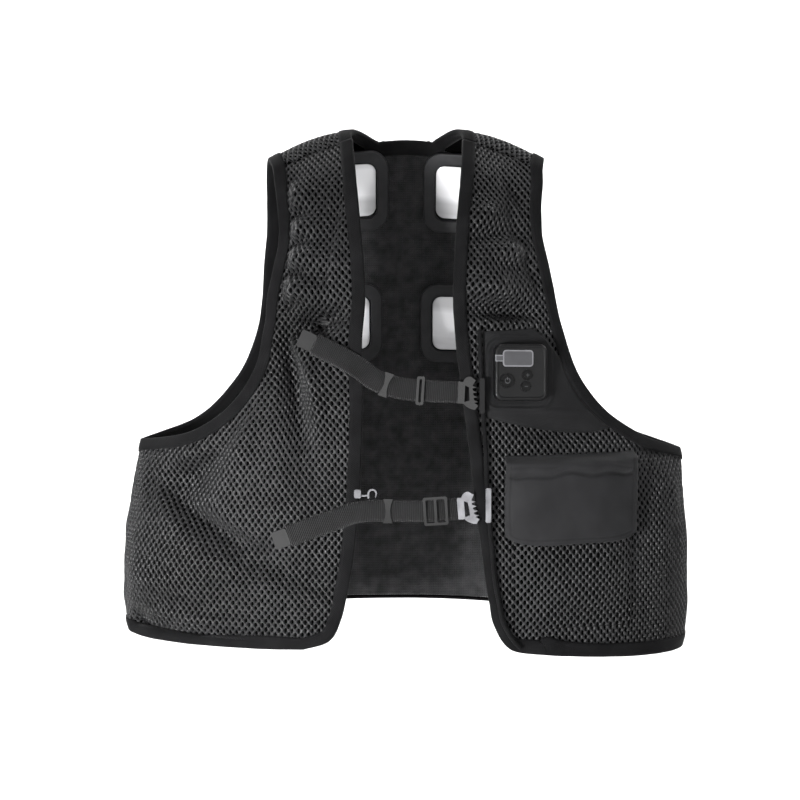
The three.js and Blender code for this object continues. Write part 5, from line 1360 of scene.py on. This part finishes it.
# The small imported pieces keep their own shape

KEPT = {
    "strap_end_upper": "webbing", "strap_end_lower": "webbing",
    "keeper_upper": "gloss", "keeper_lower": "gloss", "adjuster_upper": "gloss", "adjuster_lower": "gloss",
    # the lower hook and slider are black plastic, given the finish with the painted highlight
    "hook_upper": "gloss", "hook_lower": "painted_highlight", "slider_upper": "plastic", "slider_lower": "painted_highlight",
    "edge_clip": "clip", "edge_loop": "clip",
}
for kept_name, finish in KEPT.items():
    kept = nodes[kept_name]
    for slot_item in kept.material_slots:
        slot_item.material = FINISH[finish]
    rounding = kept.modifiers.new("rounding", "BEVEL")
    rounding.width = 0.35 * MM
    rounding.segments = 3
    rounding.limit_method = "ANGLE"
    rounding.angle_limit = math.radians(32)


# Light, floor and camera, in metres

MIDDLE = (0, 0, -0.3)
BACKDROP = {"half_width": 7.0, "front": -8.0, "floor": -0.95, "bend": 2.6, "radius": 1.0, "top": 4.0}
CAMERA = {"target": (-0.0072, 0, -0.312), "rise": 7, "away": 2.3, "lens": 86.25, "sensor": 36}
# Name, place, target, size, power and spread in degrees
LAMPS = [
    ("key", (-1.5, -2.0, -0.7), (-0.2, -0.1, -0.52), 0.6, 11, 44),
    ("front", (0.1, -2.9, 0.0), MIDDLE, 2.4, 33, 180),
    ("fill", (1.9, -2.0, 0.2), MIDDLE, 1.0, 12, 180),
    ("top", (0.2, -0.5, 2.2), MIDDLE, 1.0, 30, 180),
    ("wall left", (-2.3, 1.7, 1.5), (0, 3.4, -0.1), 1.6, 125, 180),
    ("wall right", (2.3, 1.7, 1.5), (0, 3.4, -0.1), 1.6, 125, 180),
]


def staged(name, data, place=(0, 0, 0), target=None):
    """An object of the studio, turned towards a target"""
    obj = bpy.data.objects.new(name, data)
    bpy.context.scene.collection.objects.link(obj)
    obj.location = place
    if target is not None:
        obj.rotation_euler = (Vector(target) - Vector(place)).to_track_quat("-Z", "Y").to_euler()
    return obj


def sky():
    world = bpy.data.worlds.new("studio")
    bpy.context.scene.world = world
    world.use_nodes = True
    tree = world.node_tree
    shade = fill(tree.nodes["Background"], {"Strength": 0.2})
    place = node(tree, "TexCoord").outputs["Generated"]
    clouds = textured(tree, "TexNoise", place, {"Scale": 1.6, "Detail": 0})
    tree.links.new(toned(tree, clouds, 0.40, (0.62, 0.63, 0.65), 0.56, (1, 1, 1)), shade.inputs["Color"])


def backdrop():
    mesh = bpy.data.meshes.new("floor")
    ground, bend, radius = BACKDROP["floor"], BACKDROP["bend"], BACKDROP["radius"]
    profile = [(BACKDROP["front"], ground), (bend, ground)]
    for k in range(1, 9):
        angle = math.pi / 2 * k / 8
        profile.append((bend + radius * math.sin(angle), ground + radius * (1 - math.cos(angle))))
    profile.append((bend + radius, BACKDROP["top"]))
    half = BACKDROP["half_width"]
    corners = [(x, y, z) for y, z in profile for x in (-half, half)]
    faces = [(2 * k, 2 * k + 1, 2 * k + 3, 2 * k + 2) for k in range(len(profile) - 1)]
    mesh.from_pydata(corners, [], faces)
    mesh.polygons.foreach_set("use_smooth", [True] * len(faces))
    pale = new_material("pale floor", {
        "Base Color": (0.93, 0.93, 0.93, 1), "Roughness": 0.95, "Specular IOR Level": 0.1,
    })[0]
    mesh.materials.append(pale)
    staged("floor", mesh)


def lamps_and_camera():
    for name, place, target, size, power, spread in LAMPS:
        data = bpy.data.lights.new(name, "AREA")
        data.size = size
        data.spread = math.radians(spread)
        data.energy = power
        staged(name, data, place, target)
    lens = bpy.data.cameras.new("camera")
    lens.lens = CAMERA["lens"]
    lens.sensor_width = CAMERA["sensor"]
    rise = math.radians(CAMERA["rise"])
    place = Vector(CAMERA["target"]) + Vector((0, -math.cos(rise), math.sin(rise))) * CAMERA["away"]
    bpy.context.scene.camera = staged("camera", lens, place, CAMERA["target"])
    bpy.context.scene.view_settings.view_transform = "Standard"


sky()
backdrop()
lamps_and_camera()
